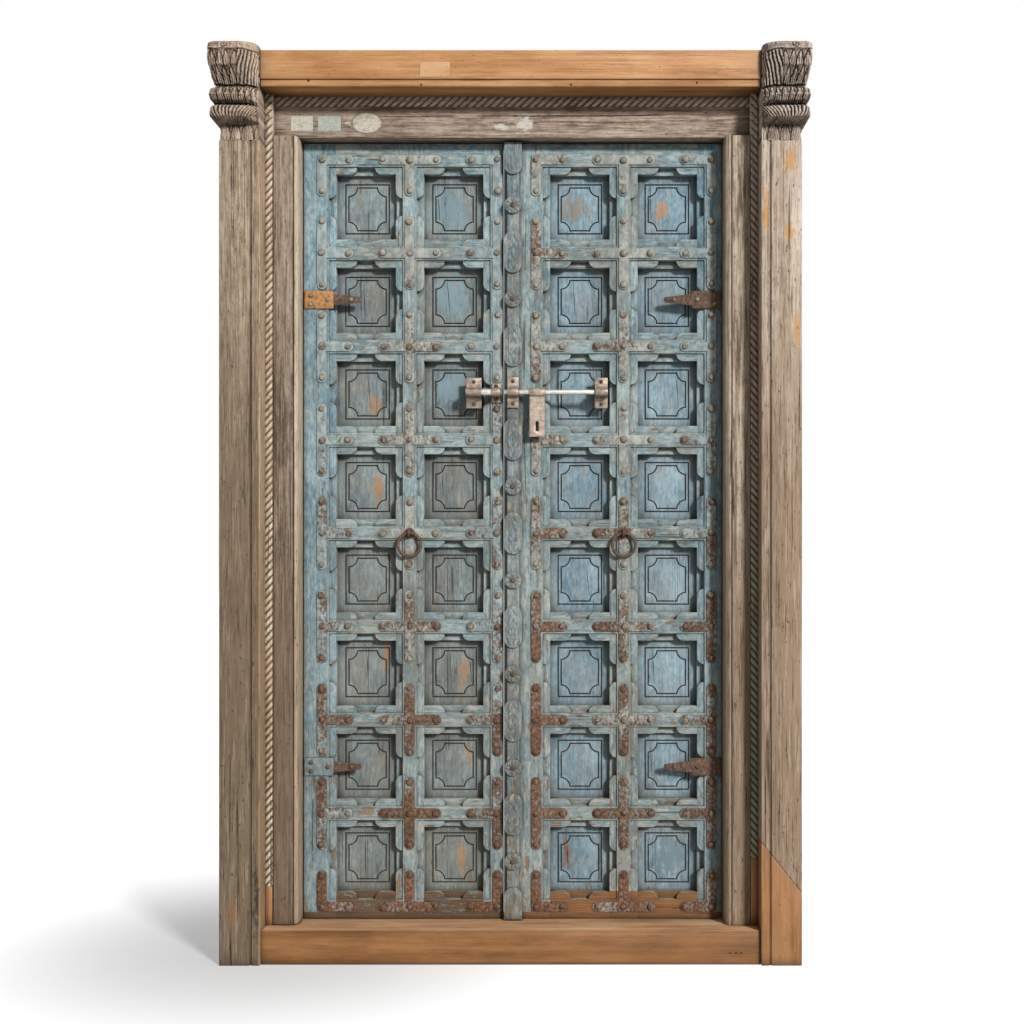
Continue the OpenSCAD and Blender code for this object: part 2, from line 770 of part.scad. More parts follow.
left_post();
right_post();
right_post_foot();
left_capital();
right_capital();
top_beam();
bottom_sill();
lintel();
left_jamb();
right_jamb();
left_rope_moulding();
right_rope_moulding();
top_rope_moulding();
left_rope_foot();
right_rope_foot();
for (piece = LEAF_PIECES) {
    leaf_piece(piece, left_lines, left_edge);
    mirror([1, 0, 0]) leaf_piece(piece, right_lines, right_edge);
}
astragal();
bolt_guides();
bolt_keeper();
bolt_rod();
hasp_flap();
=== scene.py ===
# %% [markdown]
# A carved temple door in its frame: two leaves of blue-painted lattice with iron straps, hung
# between bare weathered posts. The construction is already modelled to size. This lesson gives
# each piece the surface that age, paint and rust have left on it, and adds the small carving.

# %% Load the construction
import json
import math
import random

import bmesh
import bpy
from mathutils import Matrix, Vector, noise


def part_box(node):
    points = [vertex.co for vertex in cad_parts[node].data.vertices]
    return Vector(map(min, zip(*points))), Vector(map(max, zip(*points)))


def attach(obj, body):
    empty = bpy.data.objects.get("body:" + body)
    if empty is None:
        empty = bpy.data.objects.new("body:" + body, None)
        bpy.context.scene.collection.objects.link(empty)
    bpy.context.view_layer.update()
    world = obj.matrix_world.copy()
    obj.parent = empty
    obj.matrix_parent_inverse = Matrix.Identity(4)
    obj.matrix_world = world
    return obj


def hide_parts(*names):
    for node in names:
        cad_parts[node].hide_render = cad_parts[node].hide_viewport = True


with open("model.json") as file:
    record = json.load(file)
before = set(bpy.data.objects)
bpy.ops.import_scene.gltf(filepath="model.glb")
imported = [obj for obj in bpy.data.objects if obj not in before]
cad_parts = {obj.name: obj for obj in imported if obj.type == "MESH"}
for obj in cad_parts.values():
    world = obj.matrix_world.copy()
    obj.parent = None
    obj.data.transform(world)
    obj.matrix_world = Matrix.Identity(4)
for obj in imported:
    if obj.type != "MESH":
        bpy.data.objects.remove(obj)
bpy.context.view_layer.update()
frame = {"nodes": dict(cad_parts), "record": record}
record = frame["record"]
body_of = {name: body for body, group in record["behaviour"]["bodies"].items() for name in group}
MM = 0.001
SIDES = ("left", "right")


# %% [markdown]
# The picture comes first, because every later choice is judged in it. The door was seen nearly
# square on, from a little right of its middle and about a metre up. A camera that stays level and
# shifts its film keeps the posts upright, where a tilted camera would lean them.

# %% Camera
PHOTO_PX = 1024
MM_PER_PX = 2.4
PHOTO_MIDDLE_PX = 510.5
PHOTO_GROUND_PX = 966
CAMERA_FROM_FRONT = 3.5
CAMERA_SIDE = 0.15
CAMERA_UP = 0.999
FILM = 36.0

front_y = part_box("left_post")[0].y
view_width = PHOTO_PX * MM_PER_PX * MM
centre_x = (PHOTO_PX / 2 - PHOTO_MIDDLE_PX) * MM_PER_PX * MM
centre_z = (PHOTO_GROUND_PX - PHOTO_PX / 2) * MM_PER_PX * MM

bpy.ops.object.camera_add(location=(CAMERA_SIDE, front_y - CAMERA_FROM_FRONT, CAMERA_UP),
                          rotation=(math.pi / 2, 0, 0))
camera = bpy.context.object
camera.data.sensor_width = FILM
camera.data.lens = FILM * CAMERA_FROM_FRONT / view_width
camera.data.shift_x = (centre_x - CAMERA_SIDE) / view_width
camera.data.shift_y = (centre_z - CAMERA_UP) / view_width
bpy.context.scene.camera = camera
print("camera:", round(camera.data.lens, 1), "mm lens")


def seen_at(px, py, y):
    """The place on the plane at depth y that the camera shows at a pixel of the frame."""
    scale = (y - camera.location.y) / CAMERA_FROM_FRONT * MM_PER_PX * MM
    middle_px = PHOTO_MIDDLE_PX + CAMERA_SIDE / (MM_PER_PX * MM)
    middle_py = PHOTO_GROUND_PX - CAMERA_UP / (MM_PER_PX * MM)
    return Vector((CAMERA_SIDE + (px - middle_px) * scale, y, CAMERA_UP + (middle_py - py) * scale))


# %% [markdown]
# Every finish is a node tree, so one small function adds a node, sets it and links it. Colours are
# written as sRGB hex, as a paint chart gives them, and turned to the linear values that a renderer
# adds up. Noises are weighed into one tone and colours are laid over each other in coats. The rest
# gives what all old surfaces share: a pattern drawn out along the grain, patches where it is
# strong, thin cracks along it, ragged scars, and dirt with painted shade in corners, darkened
# by ambient occlusion.

# %% Helpers for finishes
def linear(hex_colour):
    """sRGB hex to linear RGBA."""
    parts = [int(hex_colour[i:i + 2], 16) / 255 for i in (1, 3, 5)]
    return [p / 12.92 if p <= 0.04045 else ((p + 0.055) / 1.055) ** 2.4 for p in parts] + [1.0]


def add(tree, kind, inputs=None, out=0, stops=(), **settings):
    """Adds a node with its settings and links, and returns one of its outputs."""
    new = tree.nodes.new("ShaderNode" + kind)
    for key, value in settings.items():
        setattr(new, key, value)
    for key, value in (inputs or {}).items():
        if isinstance(value, bpy.types.NodeSocket):
            tree.links.new(value, new.inputs[key])
        else:
            new.inputs[key].default_value = linear(value) if isinstance(value, str) else value
    for number, (position, colour) in enumerate(stops):
        if number >= len(new.color_ramp.elements):
            new.color_ramp.elements.new(position)
        new.color_ramp.elements[number].position = position
        new.color_ramp.elements[number].color = linear(colour)
    return new.outputs[out]


def weighed(tree, *parts, start=0.0):
    """Adds noises to a start, each times its weight."""
    for part, weight in parts:
        start = add(tree, "Math", {0: part, 1: weight, 2: start}, operation="MULTIPLY_ADD")
    return start


def coats(tree, colour, *layers):
    """Lays colours over a colour in turn, each as far as its share goes."""
    for share, coat in layers:
        colour = add(tree, "Mix", {0: share, 6: colour, 7: coat}, out=2, data_type="RGBA")
    return colour


def start_finish(name):
    """A new material, its tree, the place on the object, and that place moved by the piece's seed."""
    material = bpy.data.materials.new(name)
    material.use_nodes = True
    tree = material.node_tree
    place = add(tree, "TexCoord", out="Object")
    seed = add(tree, "Attribute", out="Fac", attribute_name="seed")
    return material, tree, place, add(tree, "VectorMath", {0: place, 1: seed}, operation="ADD")


def end_finish(material, colour, height, depth_mm, rough, metallic=0.0, ior=1.47):
    """Joins colour, a relief height and its roughness range to the shader."""
    tree = material.node_tree
    shader = tree.nodes["Principled BSDF"]
    tree.links.new(colour, shader.inputs["Base Color"])
    tree.links.new(add(tree, "MapRange", {"Value": height, "To Min": rough[1], "To Max": rough[0]}),
                   shader.inputs["Roughness"])
    tree.links.new(add(tree, "Bump", {"Height": height, "Distance": depth_mm * MM}), shader.inputs["Normal"])
    shader.inputs["Metallic"].default_value = metallic
    if not metallic:
        shader.inputs["IOR"].default_value = ior
    return material


def grain(tree, place, axis, along_mm, across_mm, detail=5.0, rough=0.62):
    """Noise drawn out along an axis: along_mm by across_mm is about one streak."""
    scale = [1 / (across_mm * MM)] * 3
    scale["xyz".index(axis)] = 1 / (along_mm * MM)
    drawn = add(tree, "Mapping", {"Vector": place, "Scale": scale}, vector_type="POINT")
    return add(tree, "TexNoise", {"Vector": drawn, "Scale": 1.0, "Detail": detail, "Roughness": rough})


def patches(tree, place, axis, along_mm, across_mm, low, high, share=1.0, detail=5.0):
    """Where a drawn-out noise passes from low to high: 0 outside the patches and share inside."""
    cloud = grain(tree, place, axis, along_mm, across_mm, detail, 0.66)
    return add(tree, "MapRange", {"Value": cloud, "From Min": low, "From Max": high, "To Max": share},
               interpolation_type="SMOOTHSTEP")


def cracks(tree, place, axis, along_mm, across_mm, share=0.8):
    """Thin broken lines along the grain: one level of a long smooth noise, kept only in patches."""
    cloud = grain(tree, place, axis, along_mm, across_mm, 1.0, 0.5)
    lines = add(tree, "Math", {0: cloud, 1: 0.5, 2: 0.012}, operation="COMPARE")
    kept = patches(tree, place, axis, along_mm / 9, across_mm * 2.5, 0.50, 0.60, share)
    return add(tree, "Math", {0: lines, 1: kept}, operation="MULTIPLY")


def corner_dirt_and_shade(tree, colour, reach_mm, share, brown="#4b4034", black="#231d18"):
    """Lays brown grime near corners and black dirt in them, where surfaces stand within reach_mm. The darkening
    comes from ambient occlusion, so it is painted shade as well as dirt.
    """
    shade = add(tree, "AmbientOcclusion", {"Distance": reach_mm * MM}, out="AO", samples=6)
    near = add(tree, "MapRange", {"Value": shade, "From Min": 0.92, "From Max": 0.55, "To Max": 0.6 * share})
    deep = add(tree, "MapRange", {"Value": shade, "From Min": 0.62, "From Max": 0.22, "To Max": share})
    return coats(tree, colour, (near, brown), (deep, black))


def scarred(tree, place, moved, colour, scar_list, axis):
    """Lays ragged spots over a colour; a scar is (colour, middle, reach), in metres."""
    for scar_colour, middle, reach in scar_list:
        away = add(tree, "VectorMath", {0: place, 1: middle}, operation="SUBTRACT")
        near = add(tree, "VectorMath", {0: away, 1: [1 / r for r in reach]}, operation="MULTIPLY")
        near = add(tree, "VectorMath", {0: near}, out="Value", operation="LENGTH")
        ragged = weighed(tree, (grain(tree, moved, axis, 30, 13, 7.0, 0.75), 3.2), start=near)
        inside = add(tree, "MapRange", {"Value": ragged, "From Min": 2.3, "From Max": 1.95, "To Max": 0.85})
        colour = coats(tree, colour, (inside, scar_colour))
    return colour


def scars_on(y, *rows, deep=0.05):
    """Scars of (colour, px, py, width, height) where the camera shows them on the plane at depth y."""
    return [(colour, seen_at(px, py, y), (wide, deep, high)) for colour, px, py, wide, high in rows]


def height_share(tree, place, from_m, to_m, share=1.0):
    """0 at one height and share at another."""
    up = add(tree, "SeparateXYZ", {"Vector": place}, out="Z")
    return add(tree, "MapRange", {"Value": up, "From Min": from_m, "From Max": to_m, "To Max": share})


# %% [markdown]
# Teak that has stood outside for a century is grey-brown. Its soft early wood has worn away, so
# the grain stands up in fine ridges, with pale dry patches, dark pits and broken drying cracks.
# Each of these is one noise at its own size. The foot of a post stays damp and can be darker.

# %% Weathered teak
def weathered_teak(name, axis, dark, middle, light, foot=None, foot_top=0.9, scars=(), dirt=0.75, rubbed_and_lit_ridges=0.0,
                   reach=34):
    """Bare grey-brown teak; foot is its colour near the ground, scars are spots of other colours, and
    the ridge share is how far the high places of a carving are made pale: rubbed wood and a painted highlight."""
    material, tree, place, moved = start_finish(name)
    fine = grain(tree, moved, axis, 110, 4.2, 7.0, 0.72)
    bands = grain(tree, moved, axis, 520, 13, 4.0)
    stains = grain(tree, moved, axis, 330, 150, 5.0)
    mottle = grain(tree, moved, axis, 30, 12, 6.0, 0.72)
    tone = weighed(tree, (fine, 0.36), (bands, 0.22), (stains, 0.20), (mottle, 0.22))
    colour = add(tree, "ValToRGB", {"Fac": tone}, stops=((0.435, dark), (0.505, middle), (0.575, light)))
    if foot:
        damp = weighed(tree, (height_share(tree, place, foot_top, 0.0), 1.6), start=stains)
        damp = add(tree, "MapRange", {"Value": damp, "From Min": 0.45, "From Max": 1.0, "To Max": 0.85})
        colour = coats(tree, colour, (damp, foot))
        for share, low, streak in ((0.5, 0.53, middle), (0.6, 0.55, dark), (0.65, 0.55, "#43352a")):
            streaks = patches(tree, moved, axis, 240 * share, 10 * share, low, low + 0.09, share)
            colour = coats(tree, colour, (streaks, streak))
    colour = scarred(tree, place, moved, colour, scars, axis)
    pits = patches(tree, moved, axis, 20, 5.0, 0.63, 0.71, 0.8, 3.0)
    lines = cracks(tree, moved, axis, 2600, 15)
    colour = corner_dirt_and_shade(tree, coats(tree, colour, (pits, "#3a2d23"), (lines, "#2a2019")), reach, dirt)
    # Deep carved cuts are painted dark: dirt and painted shade in them.
    carve = add(tree, "Attribute", out="Fac", attribute_name="carve")
    cut = add(tree, "Math", {0: carve, 1: 0.85}, operation="MULTIPLY")
    colour = coats(tree, colour, (cut, "#241b15"))
    # High, pointed places are painted pale: rubbed wood and a painted highlight.
    if rubbed_and_lit_ridges:
        peaks = add(tree, "NewGeometry", out="Pointiness")
        high = add(tree, "MapRange", {"Value": peaks, "From Min": 0.505, "From Max": 0.56, "To Max": rubbed_and_lit_ridges})
        colour = coats(tree, colour, (high, light))
    relief = weighed(tree, (lines, -0.6), (pits, -0.25), start=tone)
    return end_finish(material, colour, relief, 5.0, (0.78, 0.94), ior=1.45)


LINTEL_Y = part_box("lintel")[0].y
SPLASH, CHIP = "#d6d0c6", "#c9955f"
lintel_scars = scars_on(LINTEL_Y, (SPLASH, 524, 124, 0.034, 0.036), (SPLASH, 500, 126, 0.030, 0.014),
                        (SPLASH, 362, 123, 0.05, 0.016), deep=0.1)
left_post_scars = scars_on(front_y, ("#2f2822", 258, 905, 0.022, 0.11), ("#8d6742", 232, 915, 0.014, 0.06))
right_post_scars = scars_on(front_y, (CHIP, 791, 158, 0.026, 0.045), (CHIP, 766, 210, 0.014, 0.07),
                            (CHIP, 789, 232, 0.022, 0.03), (CHIP, 797, 330, 0.010, 0.05))
teak_left = weathered_teak("Weathered teak left post", "z", "#76654f", "#a8957e", "#cbbaa4", "#6a5843", 1.75,
                           left_post_scars)
teak_right = weathered_teak("Weathered teak right post", "z", "#9a8670", "#c8b5a1", "#e2d5c5", "#93795f", 1.75,
                            right_post_scars)
teak_jamb = {
    "left": weathered_teak("Weathered teak left jamb", "z", "#5b4b3c", "#948370", "#bcab98", "#735f4a", 1.2,
                           dirt=0.4),
    # The right jamb's colours are lighter than the left's: painted light against the shade that falls on it.
    "right": weathered_teak("Weathered teak right jamb", "z", "#75634f", "#b3a08b", "#d3c4b1", "#8d765e", 1.2,
                            dirt=0.4)}
teak_lintel = weathered_teak("Weathered teak lintel", "x", "#6c5a4b", "#a49180", "#c9b9a9", scars=lintel_scars)
teak_carved = {
    "left": weathered_teak("Carved dark teak left", "z", "#5f4b42", "#9d8470", "#d8c2ab", dirt=0.9, rubbed_and_lit_ridges=0.6),
    "right": weathered_teak("Carved dark teak right", "z", "#756257", "#b8a293", "#e6d6c6", dirt=0.8, rubbed_and_lit_ridges=0.7)}
# Paler teak for edges and the jamb lips: rubbed wood with a painted highlight.
teak_worn_lit_edge = weathered_teak("Rubbed teak edges", "z", "#9d8a74", "#c4b29c", "#dccdb9", "#a08a70", 1.2, dirt=0.3)
# A pale strip for the left post's rounded inner edge: worn wood with a painted highlight.
teak_post_edge_worn_and_lit = weathered_teak("Rubbed teak post edge", "z", "#8b745b", "#b69a7b", "#d0b798", "#97795a", 1.2,
                            dirt=0.3)
# A dark line painted where a groove's shade falls on each jamb.
teak_groove_shade = weathered_teak("Dirt line in the jambs", "z", "#2c221a", "#3d3025", "#57463a", dirt=0.3)
teak_rope = {
    "left": weathered_teak("Rope-carved teak left", "z", "#9f8870", "#cbb49a", "#e8d8c3", dirt=0.72, reach=14),
    # The right rope's colours are raised: painted light against the shade it stands in.
    "right": weathered_teak("Rope-carved teak right", "z", "#b4988a", "#e0c8b6", "#f2e2d4", "#a3b096", 1.15,
                            dirt=0.6, reach=14),
    "top": weathered_teak("Rope-carved teak head", "x", "#a48d79", "#cfb9a4", "#e8d7c4", dirt=0.55, reach=14)}


# %% [markdown]
# The top beam, the sill and the spliced feet are new softwood, planed and oiled. Growth rings show
# as broad soft bands, with fine pores, brown smudges and small dark knots.

# %% New pine
def new_pine(name, axis, dark, middle, light, smudge, dirt_and_shade_reach=70):
    """Oiled new pine: soft ring bands, fine pores and brown smudges."""
    material, tree, _, moved = start_finish(name)
    rings = grain(tree, moved, axis, 1100, 17, 3.0, 0.55)
    pores = grain(tree, moved, axis, 70, 1.5, 6.0, 0.7)
    blotch = grain(tree, moved, axis, 190, 60, 5.0)
    tone = weighed(tree, (rings, 0.34), (pores, 0.30), (blotch, 0.36))
    colour = add(tree, "ValToRGB", {"Fac": tone}, stops=((0.40, dark), (0.50, middle), (0.61, light)))
    colour = coats(tree, colour, (patches(tree, moved, axis, 240, 26, 0.5, 0.72, smudge), dark),
                   (patches(tree, moved, axis, 9, 4, 0.67, 0.73, 0.75, 2.0), "#4a2c14"),
                   (cracks(tree, moved, axis, 3000, 22, 0.55), "#553518"))
    colour = corner_dirt_and_shade(tree, colour, dirt_and_shade_reach, 0.9, "#5e3d22", "#2e1d10")
    return end_finish(material, colour, tone, 1.5, (0.5, 0.7), ior=1.48)


# The beam's long reach darkens its underside: painted shade with dirt.
pine_beam = new_pine("New pine beam", "x", "#94602f", "#bd8754", "#d4a574", 0.6, 90)
pine_patch = new_pine("Pale pine patch", "x", "#b28658", "#c99b6d", "#d3a97d", 0.1)
pine_sill = new_pine("New pine sill", "x", "#5f3b1a", "#85582d", "#a07144", 0.45, 16)
# The sill's upward faces get paler pine: painted light on its top.
pine_sill_lit_top = new_pine("Trodden pine sill top", "x", "#a0764e", "#c89c73", "#dfbb95", 0.5, 10)
pine_foot = new_pine("New pine feet", "z", "#744a25", "#9c6d42", "#b3865a", 0.35, 30)
print("wood finishes:", len(bpy.data.materials))


# %% [markdown]
# The leaves were painted blue many times. The paint has gone chalky, it is thin along the raised
# grain, cream undercoat and brown wood show where hands and rain have rubbed it, and grey-brown
# grime lies over all of it. The finish is built in that order, from the paint out. Wear grows
# towards the foot of the door. Edges get the same finish in paler, barer colours.

# %% Worn blue paint
def blue_paint(name, axis, deep, middle, pale, wear, bare=("#6b523d", "#a2876a"), grime=0.5, cream=0.6, scars=(),
               dirt=("#4b4034", "#231d18"), foot_grey=0.4, dirt_and_shade_reach=30):
    """Chalky blue paint over wood; wear moves the limit below which bare wood shows, 0 to 1."""
    material, tree, place, moved = start_finish(name)
    clouds = grain(tree, place, axis, 260, 110, 4.0)
    streaks = grain(tree, moved, axis, 90, 2.0, 6.0, 0.7)
    mottle = grain(tree, moved, axis, 20, 9, 6.0, 0.72)
    tone = weighed(tree, (clouds, 0.34), (streaks, 0.28), (mottle, 0.38))
    colour = add(tree, "ValToRGB", {"Fac": tone}, stops=((0.425, deep), (0.5, middle), (0.58, pale)))
    colour = coats(tree, colour, (patches(tree, place, axis, 190, 80, 0.42, 0.64, grime), "#7f786a"),
                   (height_share(tree, place, 1.9, 0.1, foot_grey), "#6f6a5e"),
                   (patches(tree, moved, axis, 40, 11, 0.53, 0.64, cream), "#b8b2a2"))
    wood = add(tree, "ValToRGB", {"Fac": streaks}, stops=((0.36, bare[0]), (0.64, bare[1])))
    chips = weighed(tree, (height_share(tree, place, 0.85, 0.1), 0.08),
                    start=grain(tree, moved, axis, 60, 22, 7.0, 0.72))
    limit = 0.68 - 0.17 * wear
    bared = add(tree, "MapRange", {"Value": chips, "From Min": limit, "From Max": limit + 0.05})
    colour = scarred(tree, place, moved, coats(tree, colour, (bared, wood)), scars, axis)
    colour = coats(tree, colour, (cracks(tree, moved, axis, 1500, 17, 0.7), "#2b2a26"))
    colour = corner_dirt_and_shade(tree, colour, dirt_and_shade_reach, 0.9, *dirt)
    return end_finish(material, colour, weighed(tree, (bared, -0.25), start=tone), 3.2, (0.66, 0.88))


PLANK_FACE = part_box("left_outer_plank")[0].y
BARE, CLEAN = "#a17c58", "#7f979f"
left_scars = scars_on(PLANK_FACE, (BARE, 376, 405, 0.030, 0.04), (BARE, 379, 487, 0.020, 0.06),
                      (BARE, 464, 672, 0.018, 0.07), (BARE, 461, 857, 0.016, 0.07), (BARE, 468, 752, 0.016, 0.04),
                      (BARE, 386, 655, 0.012, 0.07), (CLEAN, 451, 208, 0.085, 0.085),
                      (CLEAN, 451, 297, 0.085, 0.085), (CLEAN, 451, 390, 0.085, 0.085))
# The last spot darkens the lowest right panel.
right_scars = scars_on(PLANK_FACE, ("#b98a5c", 661, 212, 0.022, 0.034), ("#7a5d45", 567, 852, 0.016, 0.07),
                       ("#94897a", 575, 210, 0.05, 0.05), ("#677d86", 668, 859, 0.09, 0.10))
BAR_BLUES = ("#5b747b", "#8aa0a4", "#b9c6c2")
# Paler edge paint: rubbed-off paint and a painted highlight.
WORN_LIT_EDGE_BLUES = ("#7d8e91", "#a9b3ae", "#cdcfc5")
EDGE_WOOD = ("#846d55", "#c6b197")
ASTRAGAL_WOOD = ("#63523f", "#978469")
# A short reach paints dark shade lines along the straps and wings, with dirt.
paint_up = blue_paint("Worn blue paint upright", "z", *BAR_BLUES, 0.30, dirt_and_shade_reach=15)
paint_outer = blue_paint("Sheltered blue paint", "z", "#51707c", "#7a98a3", "#a9bec3", 0.22, grime=0.3, cream=0.4,
                         dirt_and_shade_reach=15)
paint_level = blue_paint("Worn blue paint level", "x", *BAR_BLUES, 0.38, dirt_and_shade_reach=15)
# A long reach darkens the recesses round the panels: painted shade with dirt.
paint_panel = {
    "left": blue_paint("Worn blue paint left panels", "z", "#5e6a6d", "#7a888a", "#99a6a6", 0.08, grime=0.55,
                       cream=0.25, scars=left_scars, dirt_and_shade_reach=50),
    "right": blue_paint("Worn blue paint right panels", "z", "#628090", "#839eab", "#a3b9c1", 0.06, grime=0.35,
                        cream=0.25, scars=right_scars, foot_grey=0.2, dirt_and_shade_reach=50)}
worn_lit_edge_up = blue_paint("Rubbed edge upright", "z", *WORN_LIT_EDGE_BLUES, 0.7, EDGE_WOOD, 0.3)
worn_lit_edge_level = blue_paint("Rubbed edge level", "x", *WORN_LIT_EDGE_BLUES, 0.75, EDGE_WOOD, 0.3)
foot_paint = {
    "left": blue_paint("Bare foot rail left", "x", "#47524f", "#65706b", "#8a928b", 1.3, ("#463424", "#74573b"),
                       cream=0.25),
    "right": blue_paint("Bare foot rail right", "x", "#53605f", "#74807d", "#97a09a", 1.9, ("#5e3b20", "#97673b"),
                        cream=0.1)}
paint_astragal = blue_paint("Worn grey-blue astragal", "z", "#49595e", "#728286", "#adb9b7", 0.36, ASTRAGAL_WOOD,
                            cream=0.45)
paint_boss = blue_paint("Rubbed astragal bosses", "z", "#646861", "#86877c", "#aeaa9b", 0.62, ASTRAGAL_WOOD,
                        cream=0.45, dirt_and_shade_reach=15)
# Near-black for the carved lines and splits: dirt with painted shade.
groove_dirt_and_shade = blue_paint("Dirt in the carved lines", "z", "#17181a", "#1f2021", "#2c2c2b", 0.0, grime=0.1,
                         cream=0.0, dirt=("#1b1a19", "#141312"))


# %% [markdown]
# The straps were forged flat, nailed on and painted with the door. Above, most of the paint is
# still there; lower down and on the right leaf it has rusted away to brown with pale flecks. Old
# paint on the upright arms has yellowed, so they have a finish of their own.

# %% Rusty iron
def rusty_iron(name, painted_foot, painted_top, painted, rust=("#2d1f16", "#583d2a", "#8c6a4d")):
    """Forged iron with old paint; two shares say how much paint is left at the foot and the top."""
    material, tree, place, moved = start_finish(name)
    flecks = grain(tree, place, "z", 10, 7, 6.0, 0.7)
    clouds = grain(tree, place, "z", 110, 110, 3.0)
    both = weighed(tree, (flecks, 0.55), (clouds, 0.45))
    limit_foot, limit_top = (0.5 + 0.28 * (0.5 - share) for share in (painted_foot, painted_top))
    limit = add(tree, "MapRange", {"Value": height_share(tree, place, 0.35, 1.8), "To Min": limit_foot,
                                   "To Max": limit_top})
    over = add(tree, "Math", {0: both, 1: limit}, operation="SUBTRACT")
    kept = add(tree, "MapRange", {"Value": over, "From Min": -0.05, "From Max": 0.06})
    crust = add(tree, "ValToRGB", {"Fac": grain(tree, place, "z", 9, 7, 6.0, 0.75)},
                stops=((0.36, rust[0]), (0.5, rust[1]), (0.66, rust[2])))
    dulled = coats(tree, painted[0], (patches(tree, moved, "z", 30, 18, 0.4, 0.6), painted[1]))
    colour = corner_dirt_and_shade(tree, coats(tree, crust, (kept, dulled)), 12, 0.9, "#4a3424", "#1f1711")
    return end_finish(material, colour, weighed(tree, (kept, 0.2), start=both), 1.6, (0.6, 0.84), metallic=0.1)


UPRIGHT_PAINT = ("#858b87", "#a9a99f")
LEVEL_PAINT = ("#7b8b8d", "#a1aaa6")
iron_up = {"left": rusty_iron("Painted iron left uprights", 0.30, 0.95, UPRIGHT_PAINT),
           "right": rusty_iron("Painted iron right uprights", 0.30, 0.85, UPRIGHT_PAINT)}
iron_level = {"left": rusty_iron("Painted iron left levels", 0.34, 1.05, LEVEL_PAINT),
              "right": rusty_iron("Painted iron right levels", 0.20, 0.90, LEVEL_PAINT)}
iron_inner = rusty_iron("Rusted iron right inner uprights", 0.22, 0.70, UPRIGHT_PAINT,
                        ("#301d14", "#603e2a", "#936d4f"))
iron_nails = rusty_iron("Rusted nail heads", 0.25, 0.80, ("#807a6d", "#a29b8c"), ("#332218", "#5d4130", "#8b6850"))
iron_bare = rusty_iron("Bare rusted iron", -0.6, -0.6, UPRIGHT_PAINT, ("#33241a", "#574030", "#7f614a"))
iron_orange = rusty_iron("Fresh orange plate", -0.6, -0.6, UPRIGHT_PAINT, ("#8a5a2f", "#b07c49", "#c9965f"))


# %% [markdown]
# The bolt is a later repair in mild steel: drawn rod, pale where it slides, and pressed plates that
# have gone brown. Metal keeps its own IOR; bloom and fine scratches along the rod break its shine.

# %% Dull steel
def dull_steel(name, dark, light, rough):
    """Tarnished steel with brown bloom and fine scratches along its length."""
    material, tree, _, moved = start_finish(name)
    bloom = grain(tree, moved, "x", 15, 12, 6.0, 0.7)
    scratches = grain(tree, moved, "x", 60, 1.4, 4.0)
    tone = weighed(tree, (bloom, 0.68), (scratches, 0.34))
    colour = add(tree, "ValToRGB", {"Fac": tone}, stops=((0.38, dark), (0.6, light)))
    return end_finish(material, corner_dirt_and_shade(tree, colour, 12, 0.85), tone, 0.6, rough, metallic=0.45)


steel_rod = dull_steel("Dull steel rod", "#b8b4ab", "#e6e3db", (0.34, 0.52))
steel_plate = dull_steel("Brown steel plates", "#6f5e51", "#ab9b8c", (0.42, 0.62))
steel_hasp = dull_steel("Pale steel hasp", "#82705f", "#bcab9c", (0.4, 0.58))
steel_dark = dull_steel("Dark steel screws", "#3a2f28", "#6d5b4d", (0.45, 0.65))


# %% [markdown]
# Someone stuck two bare paper labels and a small oval tag on the lintel long ago. Paper yellows and
# its edges go brown, so the finish is a pale cream with brown stains and a little soft relief.

# %% Old paper
def old_paper(name, base, stain):
    """Yellowed paper with stains."""
    material, tree, _, moved = start_finish(name)
    fibre = grain(tree, moved, "x", 6, 3, 5.0)
    colour = add(tree, "ValToRGB", {"Fac": fibre}, stops=((0.3, stain), (0.55, base)))
    colour = coats(tree, colour, (patches(tree, moved, "x", 26, 15, 0.5, 0.68, 0.75), stain))
    return end_finish(material, colour, fibre, 0.2, (0.75, 0.9))


label_cream = old_paper("Cream paper label", "#c9c6b8", "#a39b88")
label_green = old_paper("Green-grey paper label", "#b2b8ad", "#8f8d81")
tag_grey = old_paper("Pale oval tag", "#cdc5b4", "#93897a")
tag_rim = old_paper("Dark rim of the tag", "#938978", "#6e6556")
print("finishes:", len(bpy.data.materials))


# %% [markdown]
# Each piece was cut by hand, so none has a knife-sharp edge. A copy of the piece takes its place:
# its triangles are joined into whole faces, and a small bevel rounds every edge that sticks out.
# The bevel faces get a paler finish of their own, because edges are where paint rubs off first;
# the paleness is a painted highlight too. The pale lip of each jamb, worn wood with a painted
# highlight, its dark line of painted groove shade and the left post's inner edge, worn wood with a
# painted highlight, are parts of a face, so the face is divided along them.

# %% Dressing a piece
JAMB_LINES_PX = {"left": (292.6, 294.2), "right": (731.2, 732.6)}
POST_STRIP_PX = 258.6
WELD = 0.02 * MM
FLAT_DEG = 1.0
SMOOTH_DEG = 30
FACE_FRONT = (math.pi / 2, 0, 0)
ROPE_SHARP_DEG = 20


def select_only(*pieces):
    """Selects these pieces alone and makes the first one active."""
    bpy.ops.object.select_all(action="DESELECT")
    for piece in pieces:
        piece.select_set(True)
    bpy.context.view_layer.objects.active = pieces[0]


def fresh(primitive, **settings):
    """Adds a primitive with everything else deselected, and puts its turn and place into its mesh."""
    bpy.ops.object.select_all(action="DESELECT")
    primitive(**settings)
    bpy.ops.object.transform_apply()
    return bpy.context.object


def open_mesh(piece):
    """Opens a piece in edit mode with all of it selected."""
    select_only(piece)
    bpy.ops.object.mode_set(mode="EDIT")
    bpy.ops.mesh.select_all(action="SELECT")


def apply_modifiers(piece):
    """Turns the modifiers of a piece into mesh."""
    select_only(piece)
    for modifier in list(piece.modifiers):
        bpy.ops.object.modifier_apply(modifier=modifier.name)


